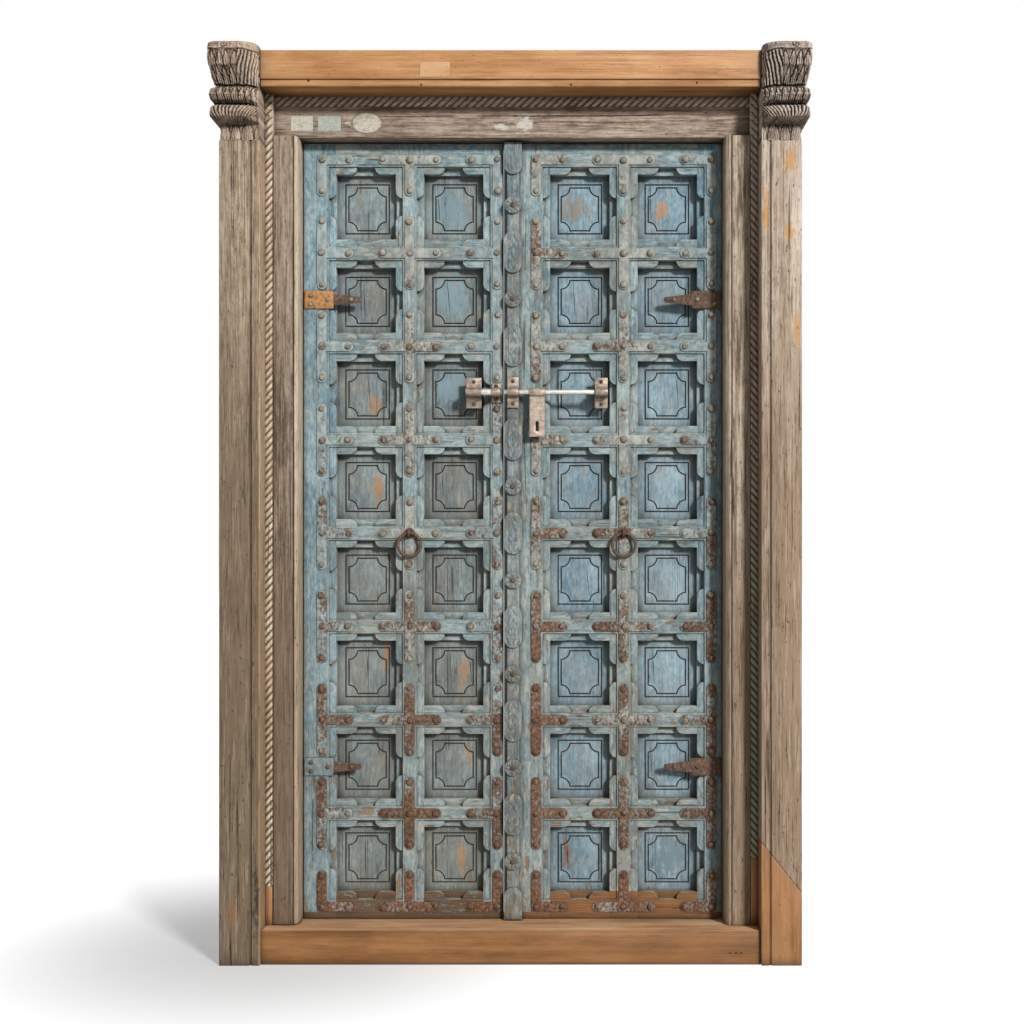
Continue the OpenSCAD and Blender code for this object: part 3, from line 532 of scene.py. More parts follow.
def seed_piece(piece):
    """Gives a piece a number of its own, so that no two pieces show the same grain."""
    seed = piece.data.attributes.get("seed") or piece.data.attributes.new("seed", "FLOAT", "POINT")
    seed.data.foreach_set("value", [random.Random(piece.name).uniform(0, 20)] * len(piece.data.vertices))


def settle(piece, name, body, materials, replaced=None):
    """Names a finished piece, gives it finish, seed and body, and hides what it replaces."""
    piece.name = name
    piece.data.name = name
    piece.data.materials.clear()
    for material in materials:
        piece.data.materials.append(material)
    seed_piece(piece)
    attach(piece, body)
    if replaced:
        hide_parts(replaced)
    return piece


def faced_copy(node):
    """A copy of a construction piece with its triangles joined into whole faces."""
    copy = bpy.data.objects.new("dressed_" + node, frame["nodes"][node].data.copy())
    bpy.context.scene.collection.objects.link(copy)
    open_mesh(copy)
    bpy.ops.mesh.remove_doubles(threshold=WELD)
    bpy.ops.mesh.dissolve_limited(angle_limit=math.radians(FLAT_DEG))
    bpy.ops.object.mode_set(mode="OBJECT")
    return copy


def mark_edges(mesh, sharp_deg):
    """Gives a bevel weight to the edges that stick out and are sharper than an angle."""
    marked = bmesh.new()
    marked.from_mesh(mesh)
    weight = marked.edges.layers.float.new("bevel_weight_edge")
    for edge in marked.edges:
        if len(edge.link_faces) == 2 and edge.is_convex and edge.calc_face_angle() > math.radians(sharp_deg):
            edge[weight] = 1.0
    marked.to_mesh(mesh)
    marked.free()


def dress(node, material, edge_material=None, bevel_mm=2.0, sharp_deg=35, segments=2):
    """Replaces a construction piece by a copy with rubbed edges; inner corners stay sharp."""
    copy = faced_copy(node)
    mark_edges(copy.data, sharp_deg)
    bevel = copy.modifiers.new("rubbed edge", "BEVEL")
    bevel.width = bevel_mm * MM
    bevel.segments = segments
    bevel.limit_method = "WEIGHT"
    bevel.use_clamp_overlap = True
    finishes = [material, edge_material] if edge_material else [material]
    copy.data.materials.clear()
    for finish in finishes:
        copy.data.materials.append(finish)
    if edge_material:
        bevel.material = 1
    apply_modifiers(copy)
    bpy.ops.object.shade_smooth_by_angle(angle=math.radians(SMOOTH_DEG))
    return settle(copy, "dressed_" + node, body_of[node], finishes, node)


def divide(piece, axis, *places):
    """Divides the faces of a piece at places along an axis, so that each part can have its own finish."""
    normal = [float(letter == axis) for letter in "xyz"]
    for place in places:
        open_mesh(piece)
        bpy.ops.mesh.bisect(plane_co=[place * share for share in normal], plane_no=normal)
        bpy.ops.object.mode_set(mode="OBJECT")
    seed_piece(piece)


def refinish(piece, finish, test):
    """Gives the faces that pass a test another finish."""
    if finish.name not in piece.data.materials:
        piece.data.materials.append(finish)
    number = piece.data.materials.find(finish.name)
    for face in piece.data.polygons:
        if test(face):
            face.material_index = number


def seen_x(px, node):
    """The place across at which the camera shows a column of pixels on a piece's front."""
    return seen_at(px, 0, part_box(node)[0].y).x


for name, finish, edge, bevel_mm in (
        ("left_post", teak_left, None, 4), ("right_post", teak_right, None, 4),
        ("right_post_foot", pine_foot, None, 3), ("left_jamb", teak_jamb["left"], teak_worn_lit_edge, 5),
        ("right_jamb", teak_jamb["right"], teak_worn_lit_edge, 3), ("lintel", teak_lintel, None, 3),
        ("left_rope_foot", pine_foot, None, 1.5), ("right_rope_foot", pine_foot, None, 1.5)):
    dress(name, finish, edge, bevel_mm)
for place, finish in teak_rope.items():
    dress(place + "_rope_moulding", finish, None, 1.2, ROPE_SHARP_DEG)
for side, columns in JAMB_LINES_PX.items():
    jamb = bpy.data.objects["dressed_%s_jamb" % side]
    line_from, line_to = (seen_x(px, side + "_jamb") for px in columns)
    divide(jamb, "x", line_from, line_to)
    refinish(jamb, teak_worn_lit_edge, lambda face: abs(face.center.x) < abs(line_from))
    # The dark line on each jamb is painted groove shade.
    refinish(jamb, teak_groove_shade, lambda face: line_from < face.center.x < line_to)
left_post = bpy.data.objects["dressed_left_post"]
strip_from = seen_x(POST_STRIP_PX, "left_post")
divide(left_post, "x", strip_from)
# The left post's inner edge strip is worn wood with a painted highlight.
refinish(left_post, teak_post_edge_worn_and_lit, lambda face: face.center.x > strip_from)
print("frame pieces dressed")


# %% [markdown]
# The lattice bars of both leaves come next. They are alike except for the lowest rails, where the
# paint is nearly gone. It is gone from the stiles' ends too, and new wood reaches higher in the
# right leaf's middle stile. The rails' upper faces take the paler edge finish: dust and rain rub
# them, and they are painted lighter as lit from above.

# %% Lattice bars
NEW_FOOT = 150 * MM
BARE_FOOT = 99 * MM
RAILS = 9
UPWARD = 0.6
LATTICE_EDGE = {"bevel_mm": 3.0, "segments": 3}

for side in SIDES:
    for bar in ("outer_stile", "middle_stile", "meeting_stile"):
        finish = paint_outer if bar == "outer_stile" else paint_up
        stile = dress(side + "_" + bar, finish, worn_lit_edge_up, **LATTICE_EDGE)
        foot_end = NEW_FOOT if (side, bar) == ("right", "middle_stile") else BARE_FOOT
        divide(stile, "z", foot_end)
        refinish(stile, foot_paint[side], lambda face: face.center.z < foot_end)
    for number in range(1, RAILS + 1):
        finish = foot_paint[side] if number == RAILS else paint_level
        rail = dress("%s_rail_%d" % (side, number), finish, worn_lit_edge_level, **LATTICE_EDGE)
        # Upward faces of the rails: rubbed paint and painted light from above.
        refinish(rail, worn_lit_edge_level, lambda face: face.normal.z > UPWARD)
    dress(side + "_ledges", paint_level, worn_lit_edge_level)
print("lattice bars dressed")


# %% [markdown]
# The planks have dried and split. A split is a long thin wedge, so a four-sided cylinder squeezed
# flat is cut out of the plank with a Boolean, a few at a time. The carved lines and the splits are
# painted near-black, a century of dirt with painted shade: faces that lie below the plank's front
# get the dark finish. The construction's line is wide where it turns the scooped corners, so a thin
# crescent, bent from a grid, mirrored to the four corners and repeated down the column, is joined
# to the plank and leaves one even line.

# %% Planks with splits and carved lines painted dark with dirt and shade
SPLITS_PX = {
    "left_inner": ((437, 178, 441, 238), (446, 268, 451, 323), (441, 458, 444, 505), (468, 640, 473, 694)),
    "left_outer": ((363, 276, 366, 329), (367, 362, 371, 414), (366, 640, 369, 690), (365, 826, 366, 880)),
    "right_inner": ((586, 560, 590, 604), (566, 826, 569, 884), (573, 270, 575, 320)),
    "right_outer": ((652, 640, 655, 694), (676, 362, 678, 410), (650, 740, 653, 790))}
SPLIT_WIDTH = 1.7
SPLIT_DEPTH = 7.0
LINES_X = {"left": (-474, -256, -38), "right": (58, 276, 494)}
ROW_PITCH = 232
LINES_Z = [1968 - ROW_PITCH * number for number in range(RAILS)]
FIELD, SCOOP, LINE = (112, 126), 22, 3.2
FIELD_INSET = 2.4 * LINE
FILL_STEPS = 12
FILL_LAP, FILL_SINK, FILL_DEPTH = 0.6, 0.02, 5
GROOVE_FROM = 0.4
PLANK_EDGE = 0.5


def split_wedge(px_top, py_top, px_foot, py_foot):
    """A thin upright wedge through a plank's front, between two pixels of the frame."""
    top, foot = seen_at(px_top, py_top, PLANK_FACE), seen_at(px_foot, py_foot, PLANK_FACE)
    wedge = fresh(bpy.ops.mesh.primitive_cylinder_add, vertices=4, radius=1.0, depth=2 * SPLIT_DEPTH * MM,
                  rotation=FACE_FRONT)
    run = top - foot
    wedge.scale = (SPLIT_WIDTH / 2 * MM, 1.0, run.length / 2)
    wedge.rotation_euler = (0, math.atan2(run.x, run.z), 0)
    wedge.location = (top + foot) / 2
    bpy.ops.object.transform_apply()
    return wedge


def corner_fills(middle_x):
    """One column's crescents, which fill the inner part of the grooves round the scooped corners."""
    fill = fresh(bpy.ops.mesh.primitive_grid_add, x_subdivisions=FILL_STEPS, y_subdivisions=1, size=1)
    reach = SCOOP + LINE
    tilt = math.asin(LINE / reach)
    corner = Vector((FIELD[0] / 2 - FIELD_INSET, FIELD[1] / 2 - FIELD_INSET))
    for step in range(FILL_STEPS + 1):
        share = step / FILL_STEPS
        angle = math.pi * (1 + share / 2)
        wide = corner + (reach + FILL_LAP) * Vector((math.cos(angle), math.sin(angle))) - Vector((LINE, LINE))
        angle = math.pi + tilt + share * (math.pi / 2 - 2 * tilt)
        narrow = corner + reach * Vector((math.cos(angle), math.sin(angle)))
        for row, spot in enumerate((wide, narrow)):
            fill.data.vertices[row * (FILL_STEPS + 1) + step].co = (
                spot.x * MM, PLANK_FACE + FILL_SINK * MM, spot.y * MM)
    open_mesh(fill)
    bpy.ops.mesh.extrude_region_move(TRANSFORM_OT_translate={"value": (0, FILL_DEPTH * MM, 0)})
    bpy.ops.mesh.select_all(action="SELECT")
    bpy.ops.mesh.normals_make_consistent(inside=False)
    bpy.ops.object.mode_set(mode="OBJECT")
    corners = fill.modifiers.new("corners", "MIRROR")
    corners.use_axis = (True, False, True)
    cells = fill.modifiers.new("cells", "ARRAY")
    cells.count = RAILS - 1
    cells.use_relative_offset = False
    cells.use_constant_offset = True
    cells.constant_offset_displace = (0, 0, -ROW_PITCH * MM)
    apply_modifiers(fill)
    fill.location = (middle_x * MM, 0, (LINES_Z[0] + LINES_Z[1]) / 2 * MM)
    bpy.ops.object.transform_apply()
    return fill


def cut_away(piece, cutters):
    """Cuts the joined cutters out of a piece."""
    select_only(*cutters)
    bpy.ops.object.join()
    cut = piece.modifiers.new("cut", "BOOLEAN")
    cut.operation = "DIFFERENCE"
    cut.solver = "EXACT"
    cut.object = cutters[0]
    apply_modifiers(piece)
    bpy.data.objects.remove(cutters[0])
    seed_piece(piece)


def in_groove(face):
    """Whether a plank's face lies at the bottom of a carved line or in a split."""
    below = face.center.y - PLANK_FACE
    return GROOVE_FROM * MM < below < SPLIT_DEPTH * MM and abs(face.normal.y) > 0.3


for plank, splits in SPLITS_PX.items():
    side, column = plank.split("_")
    board = dress(plank + "_plank", paint_panel[side], worn_lit_edge_up, PLANK_EDGE)
    cut_away(board, [split_wedge(*ends) for ends in splits])
    lines = sorted(LINES_X[side], key=abs, reverse=True)[0 if column == "outer" else 1:][:2]
    fills = corner_fills(sum(lines) / 2)
    fills.data.materials.append(paint_panel[side])
    select_only(board, fills)
    bpy.ops.object.join()
    seed_piece(board)
    # Faces in the carved lines and splits get the near-black of dirt and painted shade.
    refinish(board, groove_dirt_and_shade, in_groove)
    print(board.name, len(board.data.polygons), "faces,", len(splits), "splits")


# %% [markdown]
# The straps take one finish on their upright arms and another on their level arms, by where each
# face lies; the right leaf's inner column and the lowest row are the most rusted. A pull ring, its
# staple and the pivots keep the construction's own mesh.

# %% Iron straps
STRAP_HALF = 12.5
INNER_END = 130 * MM
STRAP_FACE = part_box("left_straps")[0].y
HINGE_PLATE = 72 * MM
MID_HEIGHT = 1.0
KEEPER_ROD = (-76 * MM, -52 * MM)
IRON_EDGE = {"bevel_mm": 0.8}

for side in SIDES:
    straps = dress(side + "_straps", iron_up[side], **IRON_EDGE)
    refinish(straps, iron_level[side],
             lambda face: min(abs(face.center.x / MM - x) for x in LINES_X[side]) > STRAP_HALF)
    refinish(straps, iron_inner,
             lambda face: (side == "right" and face.center.x < INNER_END) or face.center.z < NEW_FOOT)
    hinges = dress(side + "_hinge_straps", iron_bare, **IRON_EDGE)
    for ironwork in ("pivots", "ring_staple", "pull_ring"):
        iron = frame["nodes"]["%s_%s" % (side, ironwork)]
        iron.data.materials.clear()
        iron.data.materials.append(iron_bare)
hinges = bpy.data.objects["dressed_left_hinge_straps"]
plate_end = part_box("left_hinge_straps")[0].x + HINGE_PLATE
divide(hinges, "x", plate_end)
refinish(hinges, iron_orange, lambda face: face.center.x < plate_end and face.center.z > MID_HEIGHT)
refinish(hinges, paint_outer, lambda face: face.center.x < plate_end and face.center.z <= MID_HEIGHT)
for name, finish in (("bolt_guides", steel_plate), ("hasp_flap", steel_hasp), ("bolt_rod", steel_rod),
                     ("bolt_keeper", steel_plate)):
    dress(name, finish, **IRON_EDGE)
refinish(bpy.data.objects["dressed_bolt_keeper"], steel_rod,
         lambda face: KEEPER_ROD[0] < face.center.x < KEEPER_ROD[1])
print("ironwork dressed")


# %% [markdown]
# Every strap arm is held by hand-made nails with domed heads about 14 mm across. One head is
# modelled from a sphere: the back half is cut off and the dome flattened. Then it is copied to the
# crossings and the arm ends, each a little different in size and place, and joined into one piece
# for each leaf.

# %% Nail heads
ARM_UP = 78
ARM_SIDE = 66
RING_CROSSING = (4, 1)
HINGE_ROWS = (1, 6)
HINGE_NAILS = ((16, 11), (16, -11), (58, 0), (116, 0))
HALF_ROW = ROW_PITCH / 2
NAIL_HEAD = (8.0, 4.8)
NAIL_SHIFT = 1.5
HINGE_NAIL_SIZE = 0.72


def joined_copies(model, spots):
    """Copies a modelled piece to (place, turn about Y, size) and joins the copies."""
    copies = []
    for place, turn, size in spots:
        copy = model.copy()
        copy.data = model.data.copy()
        copy.location, copy.rotation_euler, copy.scale = place, (0, turn, 0), (size, size, size)
        bpy.context.scene.collection.objects.link(copy)
        copies.append(copy)
    bpy.data.objects.remove(model)
    select_only(*copies)
    bpy.ops.object.join()
    bpy.ops.object.transform_apply()
    bpy.ops.object.shade_smooth()
    return bpy.context.object


def domed_head(radius_mm, height_mm):
    """A nail head: the front half of a sphere, flattened, with its back closed."""
    head = fresh(bpy.ops.mesh.primitive_uv_sphere_add, segments=12, ring_count=8, radius=radius_mm * MM,
                 rotation=FACE_FRONT)
    open_mesh(head)
    bpy.ops.mesh.bisect(plane_co=(0, 0.1 * MM, 0), plane_no=(0, 1, 0), use_fill=True, clear_outer=True)
    bpy.ops.mesh.select_all(action="SELECT")
    bpy.ops.transform.resize(value=(1, height_mm / radius_mm, 1))
    bpy.ops.object.mode_set(mode="OBJECT")
    return head


def nail_spots(side):
    """Places of a leaf's nails: crossings, arm ends and hinge straps."""
    chance = random.Random(side)
    flat = []
    for row, z in enumerate(LINES_Z):
        for column, x in enumerate(LINES_X[side]):
            if (row, column) != RING_CROSSING:
                flat.append((x, z))
            flat += [(x, z + s * ARM_UP) for s in (1, -1) if 0 <= row - s < RAILS]
            flat += [(x + s * ARM_SIDE, z) for s in (1, -1) if 0 <= column + s <= 2]
    spots = []
    for x, z in flat:
        x += chance.uniform(-NAIL_SHIFT, NAIL_SHIFT)
        z += chance.uniform(-NAIL_SHIFT, NAIL_SHIFT)
        place = Vector((x, STRAP_FACE / MM, z)) * MM
        spots.append((place, chance.uniform(0, 6.28), chance.uniform(0.85, 1.12)))
    low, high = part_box(side + "_hinge_straps")
    outer, inward = (low.x, 1) if side == "left" else (high.x, -1)
    for row in HINGE_ROWS:
        for along, up in HINGE_NAILS:
            z = LINES_Z[row] - HALF_ROW + up
            spots.append((Vector((outer + inward * along * MM, low.y, z * MM)), 0, HINGE_NAIL_SIZE))
    return spots


for side in SIDES:
    nails = joined_copies(domed_head(*NAIL_HEAD), nail_spots(side))
    settle(nails, side + "_nails", side + "_leaf", [iron_nails])
    print(nails.name, len(nails.data.polygons), "faces")


# %% [markdown]
# The new beam and the new sill have a few old nail holes. A hole is bored with a cylinder. The
# beam also has a paler piece let into its front, which is a thin plate with bevelled edges.

# %% Beam and sill
BEAM_HOLES_PX = ((308, 80), (421, 84), (571, 84), (697, 82))
SILL_HOLES_PX = ((730, 953), (736, 953), (741, 953))
PATCH_PX = (420, 62, 450, 77)
PATCH_THICK = 0.8
BEAM_HOLE, SILL_HOLE = (2.6, 9), (2.0, 8)
BEAM_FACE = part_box("top_beam")[0].y
SILL_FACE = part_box("bottom_sill")[0].y


def bore(px, py, y, radius_mm, depth_mm):
    """A round cutter through the front at depth y, at a pixel of the frame."""
    return fresh(bpy.ops.mesh.primitive_cylinder_add, vertices=12, radius=radius_mm * MM,
                 depth=2 * depth_mm * MM, location=seen_at(px, py, y), rotation=FACE_FRONT)


def seen_box(px_box, y):
    """The low and high corners of a box of pixels on the plane at depth y."""
    left, top, right, foot = px_box
    return seen_at(left, foot, y), seen_at(right, top, y)


def plate(px_box, y, thick_mm):
    """A thin bevelled plate on the face at depth y, in a box of pixels of the frame."""
    low, high = seen_box(px_box, y)
    piece = fresh(bpy.ops.mesh.primitive_cube_add, size=1)
    piece.scale = (high.x - low.x, thick_mm * MM, high.z - low.z)
    piece.location = ((low.x + high.x) / 2, y - thick_mm / 2 * MM, (low.z + high.z) / 2)
    bpy.ops.object.transform_apply()
    bevel = piece.modifiers.new("worn edge", "BEVEL")
    bevel.width = thick_mm * 0.4 * MM
    bevel.segments = 2
    apply_modifiers(piece)
    return piece


beam = dress("top_beam", pine_beam, None, 2.5)
cut_away(beam, [bore(px, py, BEAM_FACE, *BEAM_HOLE) for px, py in BEAM_HOLES_PX])
# Faces of the sill that look up are painted lighter, as painted light from above.
sill = dress("bottom_sill", pine_sill, pine_sill_lit_top, 3)
refinish(sill, pine_sill, lambda face: face.normal.z <= UPWARD)
refinish(sill, pine_sill_lit_top, lambda face: face.normal.z > UPWARD)
cut_away(sill, [bore(px, py, SILL_FACE, *SILL_HOLE) for px, py in SILL_HOLES_PX])
patch = plate(PATCH_PX, BEAM_FACE, PATCH_THICK)
settle(patch, "beam_patch", body_of["top_beam"], [pine_patch])
print("beam, sill and patch made")


# %% [markdown]
# The astragal, the moulding that covers the gap between the leaves, is carved all along: rosettes
# with eight petals, and long cartouches with pairs of leaves between them. Petals and leaves are
# flattened spheres, modelled once and copied around each rosette and cartouche. A nail head sits in
# the middle of each rosette.

# %% Astragal carving
BOSS_SKIN = 1.5 * MM
ASTRAGAL_X = (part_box("astragal")[0].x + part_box("astragal")[1].x) / 2 / MM
LEAF_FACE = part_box("left_outer_stile")[0].y
ROSETTE_Y = LEAF_FACE - 21 * MM
ROSETTE_NAIL_Y = LEAF_FACE - 22.3 * MM
CARTOUCHE_Y = LEAF_FACE - 20 * MM
ROSETTE_ROWS = (0, 1, 3, 4, 5, 6, 7)
PETALS = 8
PETAL_OUT = 13.2
PETAL, LEAF = (13, 9.5, 1.7), (20, 11, 1.6)
ROSETTE_NAIL, ROSETTE_NAIL_SIZE = (7.2, 2.0), 0.8
LEAF_UPS = (-36, -13, 13, 36)
LEAF_LEANS = ((-7.5, 0.35), (7.5, -0.35))


def seed_shape(long_mm, wide_mm, high_mm):
    """A carved petal: a flattened sphere, drawn to a point at one end."""
    petal = fresh(bpy.ops.mesh.primitive_uv_sphere_add, segments=8, ring_count=6, radius=1.0)
    petal.scale = (wide_mm / 2 * MM, high_mm * MM, long_mm / 2 * MM)
    bpy.ops.object.transform_apply()
    for vertex in petal.data.vertices:
        share = vertex.co.z / (long_mm * MM) + 0.5
        vertex.co.x *= 0.45 + 0.75 * share
    return petal


def rosettes(y):
    """The middles of the rosettes at depth y."""
    return [Vector((ASTRAGAL_X * MM, y, (LINES_Z[row] - HALF_ROW) * MM)) for row in ROSETTE_ROWS]


def rosette_petals():
    """Places of the petals of every rosette."""
    turns = [number * 2 * math.pi / PETALS for number in range(PETALS)]
    return [(middle + Vector((math.sin(turn), 0, math.cos(turn))) * PETAL_OUT * MM, turn, 1.0)
            for middle in rosettes(ROSETTE_Y) for turn in turns]


def cartouche_leaves():
    """Places of the leaves of every cartouche: four pairs that point away from its middle."""
    spots = []
    for z in LINES_Z[1:8]:
        for up in LEAF_UPS:
            for across, lean in LEAF_LEANS:
                turn = lean if up > 0 else math.pi - lean
                spots.append((Vector(((ASTRAGAL_X + across) * MM, CARTOUCHE_Y, (z + up) * MM)), turn, 1.0))
    return spots


astragal = dress("astragal", paint_astragal, worn_lit_edge_up, 1.4)
boss_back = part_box("astragal")[0].y + BOSS_SKIN
refinish(astragal, paint_boss, lambda face: face.normal.y < -0.9 and face.center.y < boss_back)
for name, petal, spots in (("astragal_petals", seed_shape(*PETAL), rosette_petals()),
                           ("astragal_leaves", seed_shape(*LEAF), cartouche_leaves())):
    carving = joined_copies(petal, spots)
    settle(carving, name, body_of["astragal"], [paint_astragal])
    print(name, len(carving.data.polygons), "faces")
nails = joined_copies(domed_head(*ROSETTE_NAIL),
                      [(middle, 0, ROSETTE_NAIL_SIZE) for middle in rosettes(ROSETTE_NAIL_Y)])
settle(nails, "astragal_nails", body_of["astragal"], [iron_bare])


# %% [markdown]
# The bolt's plates are held by round-headed screws. One screw is a dome with a slot sawn across it.

# %% Screws
BOLT_Z = 1388
SCREW_HEAD = (4.6, 2.2)
LEAF_PLATE_Y, ASTRAGAL_PLATE_Y = 46, 32
KEEPER_SCREWS = ((-96, LEAF_PLATE_Y, 28), (-96, LEAF_PLATE_Y, -28), (-40.5, LEAF_PLATE_Y, 17),
                 (-40.5, LEAF_PLATE_Y, -17))
GUIDE_SCREWS = ((ASTRAGAL_X, ASTRAGAL_PLATE_Y, 28), (ASTRAGAL_X, ASTRAGAL_PLATE_Y, -28),
                (220, LEAF_PLATE_Y, 28), (220, LEAF_PLATE_Y, -28))


def slotted_head(radius_mm, height_mm):
    """A screw head: a dome with a slot across it."""
    head = domed_head(radius_mm, height_mm)
    saw = fresh(bpy.ops.mesh.primitive_cube_add, size=1)
    saw.location = (0, -height_mm * MM, 0)
    saw.scale = (3 * radius_mm * MM, height_mm * MM, 0.3 * radius_mm * MM)
    bpy.ops.object.transform_apply()
    cut_away(head, [saw])
    return head


def screw_spots(seed, places):
    """Screws at (x, y, height above the bolt) in mm, each turned and sized by chance."""
    chance = random.Random(seed)
    return [(Vector((x, y, BOLT_Z + up)) * MM, chance.uniform(-1.2, 1.2), chance.uniform(0.9, 1.1))
            for x, y, up in places]


for name, node, seed, places in (("keeper_screws", "bolt_keeper", "keeper", KEEPER_SCREWS),
                                 ("guide_screws", "bolt_guides", "guides", GUIDE_SCREWS)):
    screws = joined_copies(slotted_head(*SCREW_HEAD), screw_spots(seed, places))
    settle(screws, name, body_of[node], [steel_dark])
print("screws set")


# %% [markdown]
# Two paper labels and an oval tag were stuck on the lintel. They are bare. Each starts as a grid or
# a disc, gets a curled corner and is thickened a little. The tag's rim is darker than its field.

# %% Labels on the lintel
PAPER_LIFT, PAPER_THICK, PAPER_CURL = 0.7 * MM, 0.4 * MM, 8 * MM
RIM_FROM = 0.46


def label(name, px_box, finish, oval=False):
    """A thin curled sheet on the lintel; an oval one is a disc with a rim, drawn out to the same box."""
    low, high = seen_box(px_box, LINTEL_Y)
    wide, tall, middle = high.x - low.x, high.z - low.z, (low + high) / 2
    if oval:
        sheet = fresh(bpy.ops.mesh.primitive_circle_add, vertices=36, radius=0.5, fill_type="NGON",
                      rotation=FACE_FRONT)
        open_mesh(sheet)
        bpy.ops.mesh.inset(thickness=0.06)
        bpy.ops.mesh.inset(thickness=0.03)
        bpy.ops.transform.translate(value=(0, PAPER_THICK, 0))
        bpy.ops.object.mode_set(mode="OBJECT")
    else:
        sheet = fresh(bpy.ops.mesh.primitive_grid_add, x_subdivisions=10, y_subdivisions=8, size=1,
                      rotation=FACE_FRONT)
    sheet.scale = (wide, 1, tall)
    sheet.location = (middle.x, LINTEL_Y - PAPER_LIFT, middle.z)
    bpy.ops.object.transform_apply()
    for vertex in sheet.data.vertices:
        curl = max(0, (vertex.co.x - low.x) / wide + (vertex.co.z - low.z) / tall - 1.5)
        vertex.co.y -= PAPER_CURL * curl * curl
    thicken = sheet.modifiers.new("paper", "SOLIDIFY")
    thicken.thickness = PAPER_THICK
    apply_modifiers(sheet)
    settle(sheet, name, body_of["lintel"], [finish, tag_rim])
    if oval:
        refinish(sheet, tag_rim, lambda face: math.hypot((face.center.x - middle.x) / wide,
                                                         (face.center.z - middle.z) / tall) > RIM_FROM)


label("label_left", (291, 116, 313, 131), label_cream)
label("label_right", (318, 116, 341, 131), label_green)
label("label_oval", (351, 112, 383, 134), tag_grey, oval=True)
print("labels stuck on")


# %% [markdown]
# The capitals are the richest carving, and no stock shape comes near them. A flat grid is bent
# into the capital: each row of the grid follows the plan at one height, round the turned inner
# corner, the front and the outer side, and stands out as far as the outline says. Then each point
# is pushed in by the depth of the carving there: leaves at the foot, a fan on the lower ring,
# petals on the upper ring and on the front of the head, and slanted ribs on the head's turned
# corner and side. The depth is kept to paint the deep cuts dark with dirt and painted shade.

# %% Carved capitals
CAPITAL_SHAPE = ((0.08, 0), (0.08, 0.165), (0.5, 0.18), (0.8, 0.215), (0.86, 0.265), (0.72, 0.32), (0.4, 0.355),
                 (0.72, 0.385), (0.9, 0.44), (0.76, 0.505), (0.44, 0.55), (0.5, 0.575), (0.72, 0.66),
                 (0.94, 0.76), (1, 0.83), (1, 0.92), (0.93, 0.975), (0.75, 1))
FOOT_TOP, FAN_TOP, RING_TOP, HEAD_MIDDLE, HEAD_TOP = 0.165, 0.36, 0.565, 0.74, 0.9
TURNED, ROUNDED = 46, 14
TURNED_RUN, FRONT_RUN, CORNER_RUN, SIDE_RUN = 75, 59, 22, 234
TURNED_STEPS, FRONT_STEPS, CORNER_STEPS, SIDE_STEPS = 34, 36, 10, 90
LEAF_PITCH, PETAL_PITCH = 37, 18
DEEP_CUT = 4.2
CARVED_HEIGHT = 225
LEVELS = 120
post_in, post_out = (corner.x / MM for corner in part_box("right_post"))
cap_low, cap_high = (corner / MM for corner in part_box("right_capital"))


def overhang(share):
    """How far the outline stands out at a share of the height, 0 to 1."""
    for (out, low), (next_out, high) in zip(CAPITAL_SHAPE, CAPITAL_SHAPE[1:]):
        if low <= share <= high:
            return out + (next_out - out) * (share - low) / (high - low)
    return CAPITAL_SHAPE[-1][0]


def capital_plan(out):
    """The plan at an overhang: (across, depth, way around), from the beam around to the beam, in mm."""
    start = front_y / MM
    front = start + (cap_low.y - start) * out
    outer = post_out + (cap_high.x - post_out) * out
    plan = []
    for share in (step / TURNED_STEPS for step in range(TURNED_STEPS)):
        angle = share * math.pi / 2
        plan.append((post_in + TURNED * (1 - math.cos(angle)), start + (front - start) * math.sin(angle),
                     share * TURNED_RUN))
    for share in (step / FRONT_STEPS for step in range(FRONT_STEPS)):
        plan.append((post_in + TURNED + share * (outer - ROUNDED - post_in - TURNED), front,
                     TURNED_RUN + share * FRONT_RUN))
    for share in (step / CORNER_STEPS for step in range(CORNER_STEPS)):
        angle = share * math.pi / 2
        plan.append((outer - ROUNDED * (1 - math.sin(angle)), front + ROUNDED * (1 - math.cos(angle)),
                     TURNED_RUN + FRONT_RUN + share * CORNER_RUN))
    for share in (step / SIDE_STEPS for step in range(SIDE_STEPS + 1)):
        plan.append((outer, front + ROUNDED + share * (cap_high.y - front - ROUNDED),
                     TURNED_RUN + FRONT_RUN + CORNER_RUN + share * SIDE_RUN))
    return plan + [(post_in, cap_high.y, None), (post_in, start, None)]


def ribs(around, pitch, depth):
    """Rounded ribs with sharp grooves between them."""
    return depth * (1 - abs(math.sin(math.pi * around / pitch)))


def line(share, at, depth):
    """One level groove at a share of the height."""
    return depth * max(0, 1 - abs(share - at) / 0.011)


def petals(around, share, foot, top):
    """A row of pointed petals between two heights: veined, with a deep outline."""
    across = abs((around / PETAL_PITCH) % 1 - 0.5) * 2
    edge = 1 - ((share - foot) / (top - foot)) ** 2
    if abs(across - edge) < 0.17:
        return 4.6
    return ribs(around, PETAL_PITCH / 3, 2.2) if across < edge else 3.0


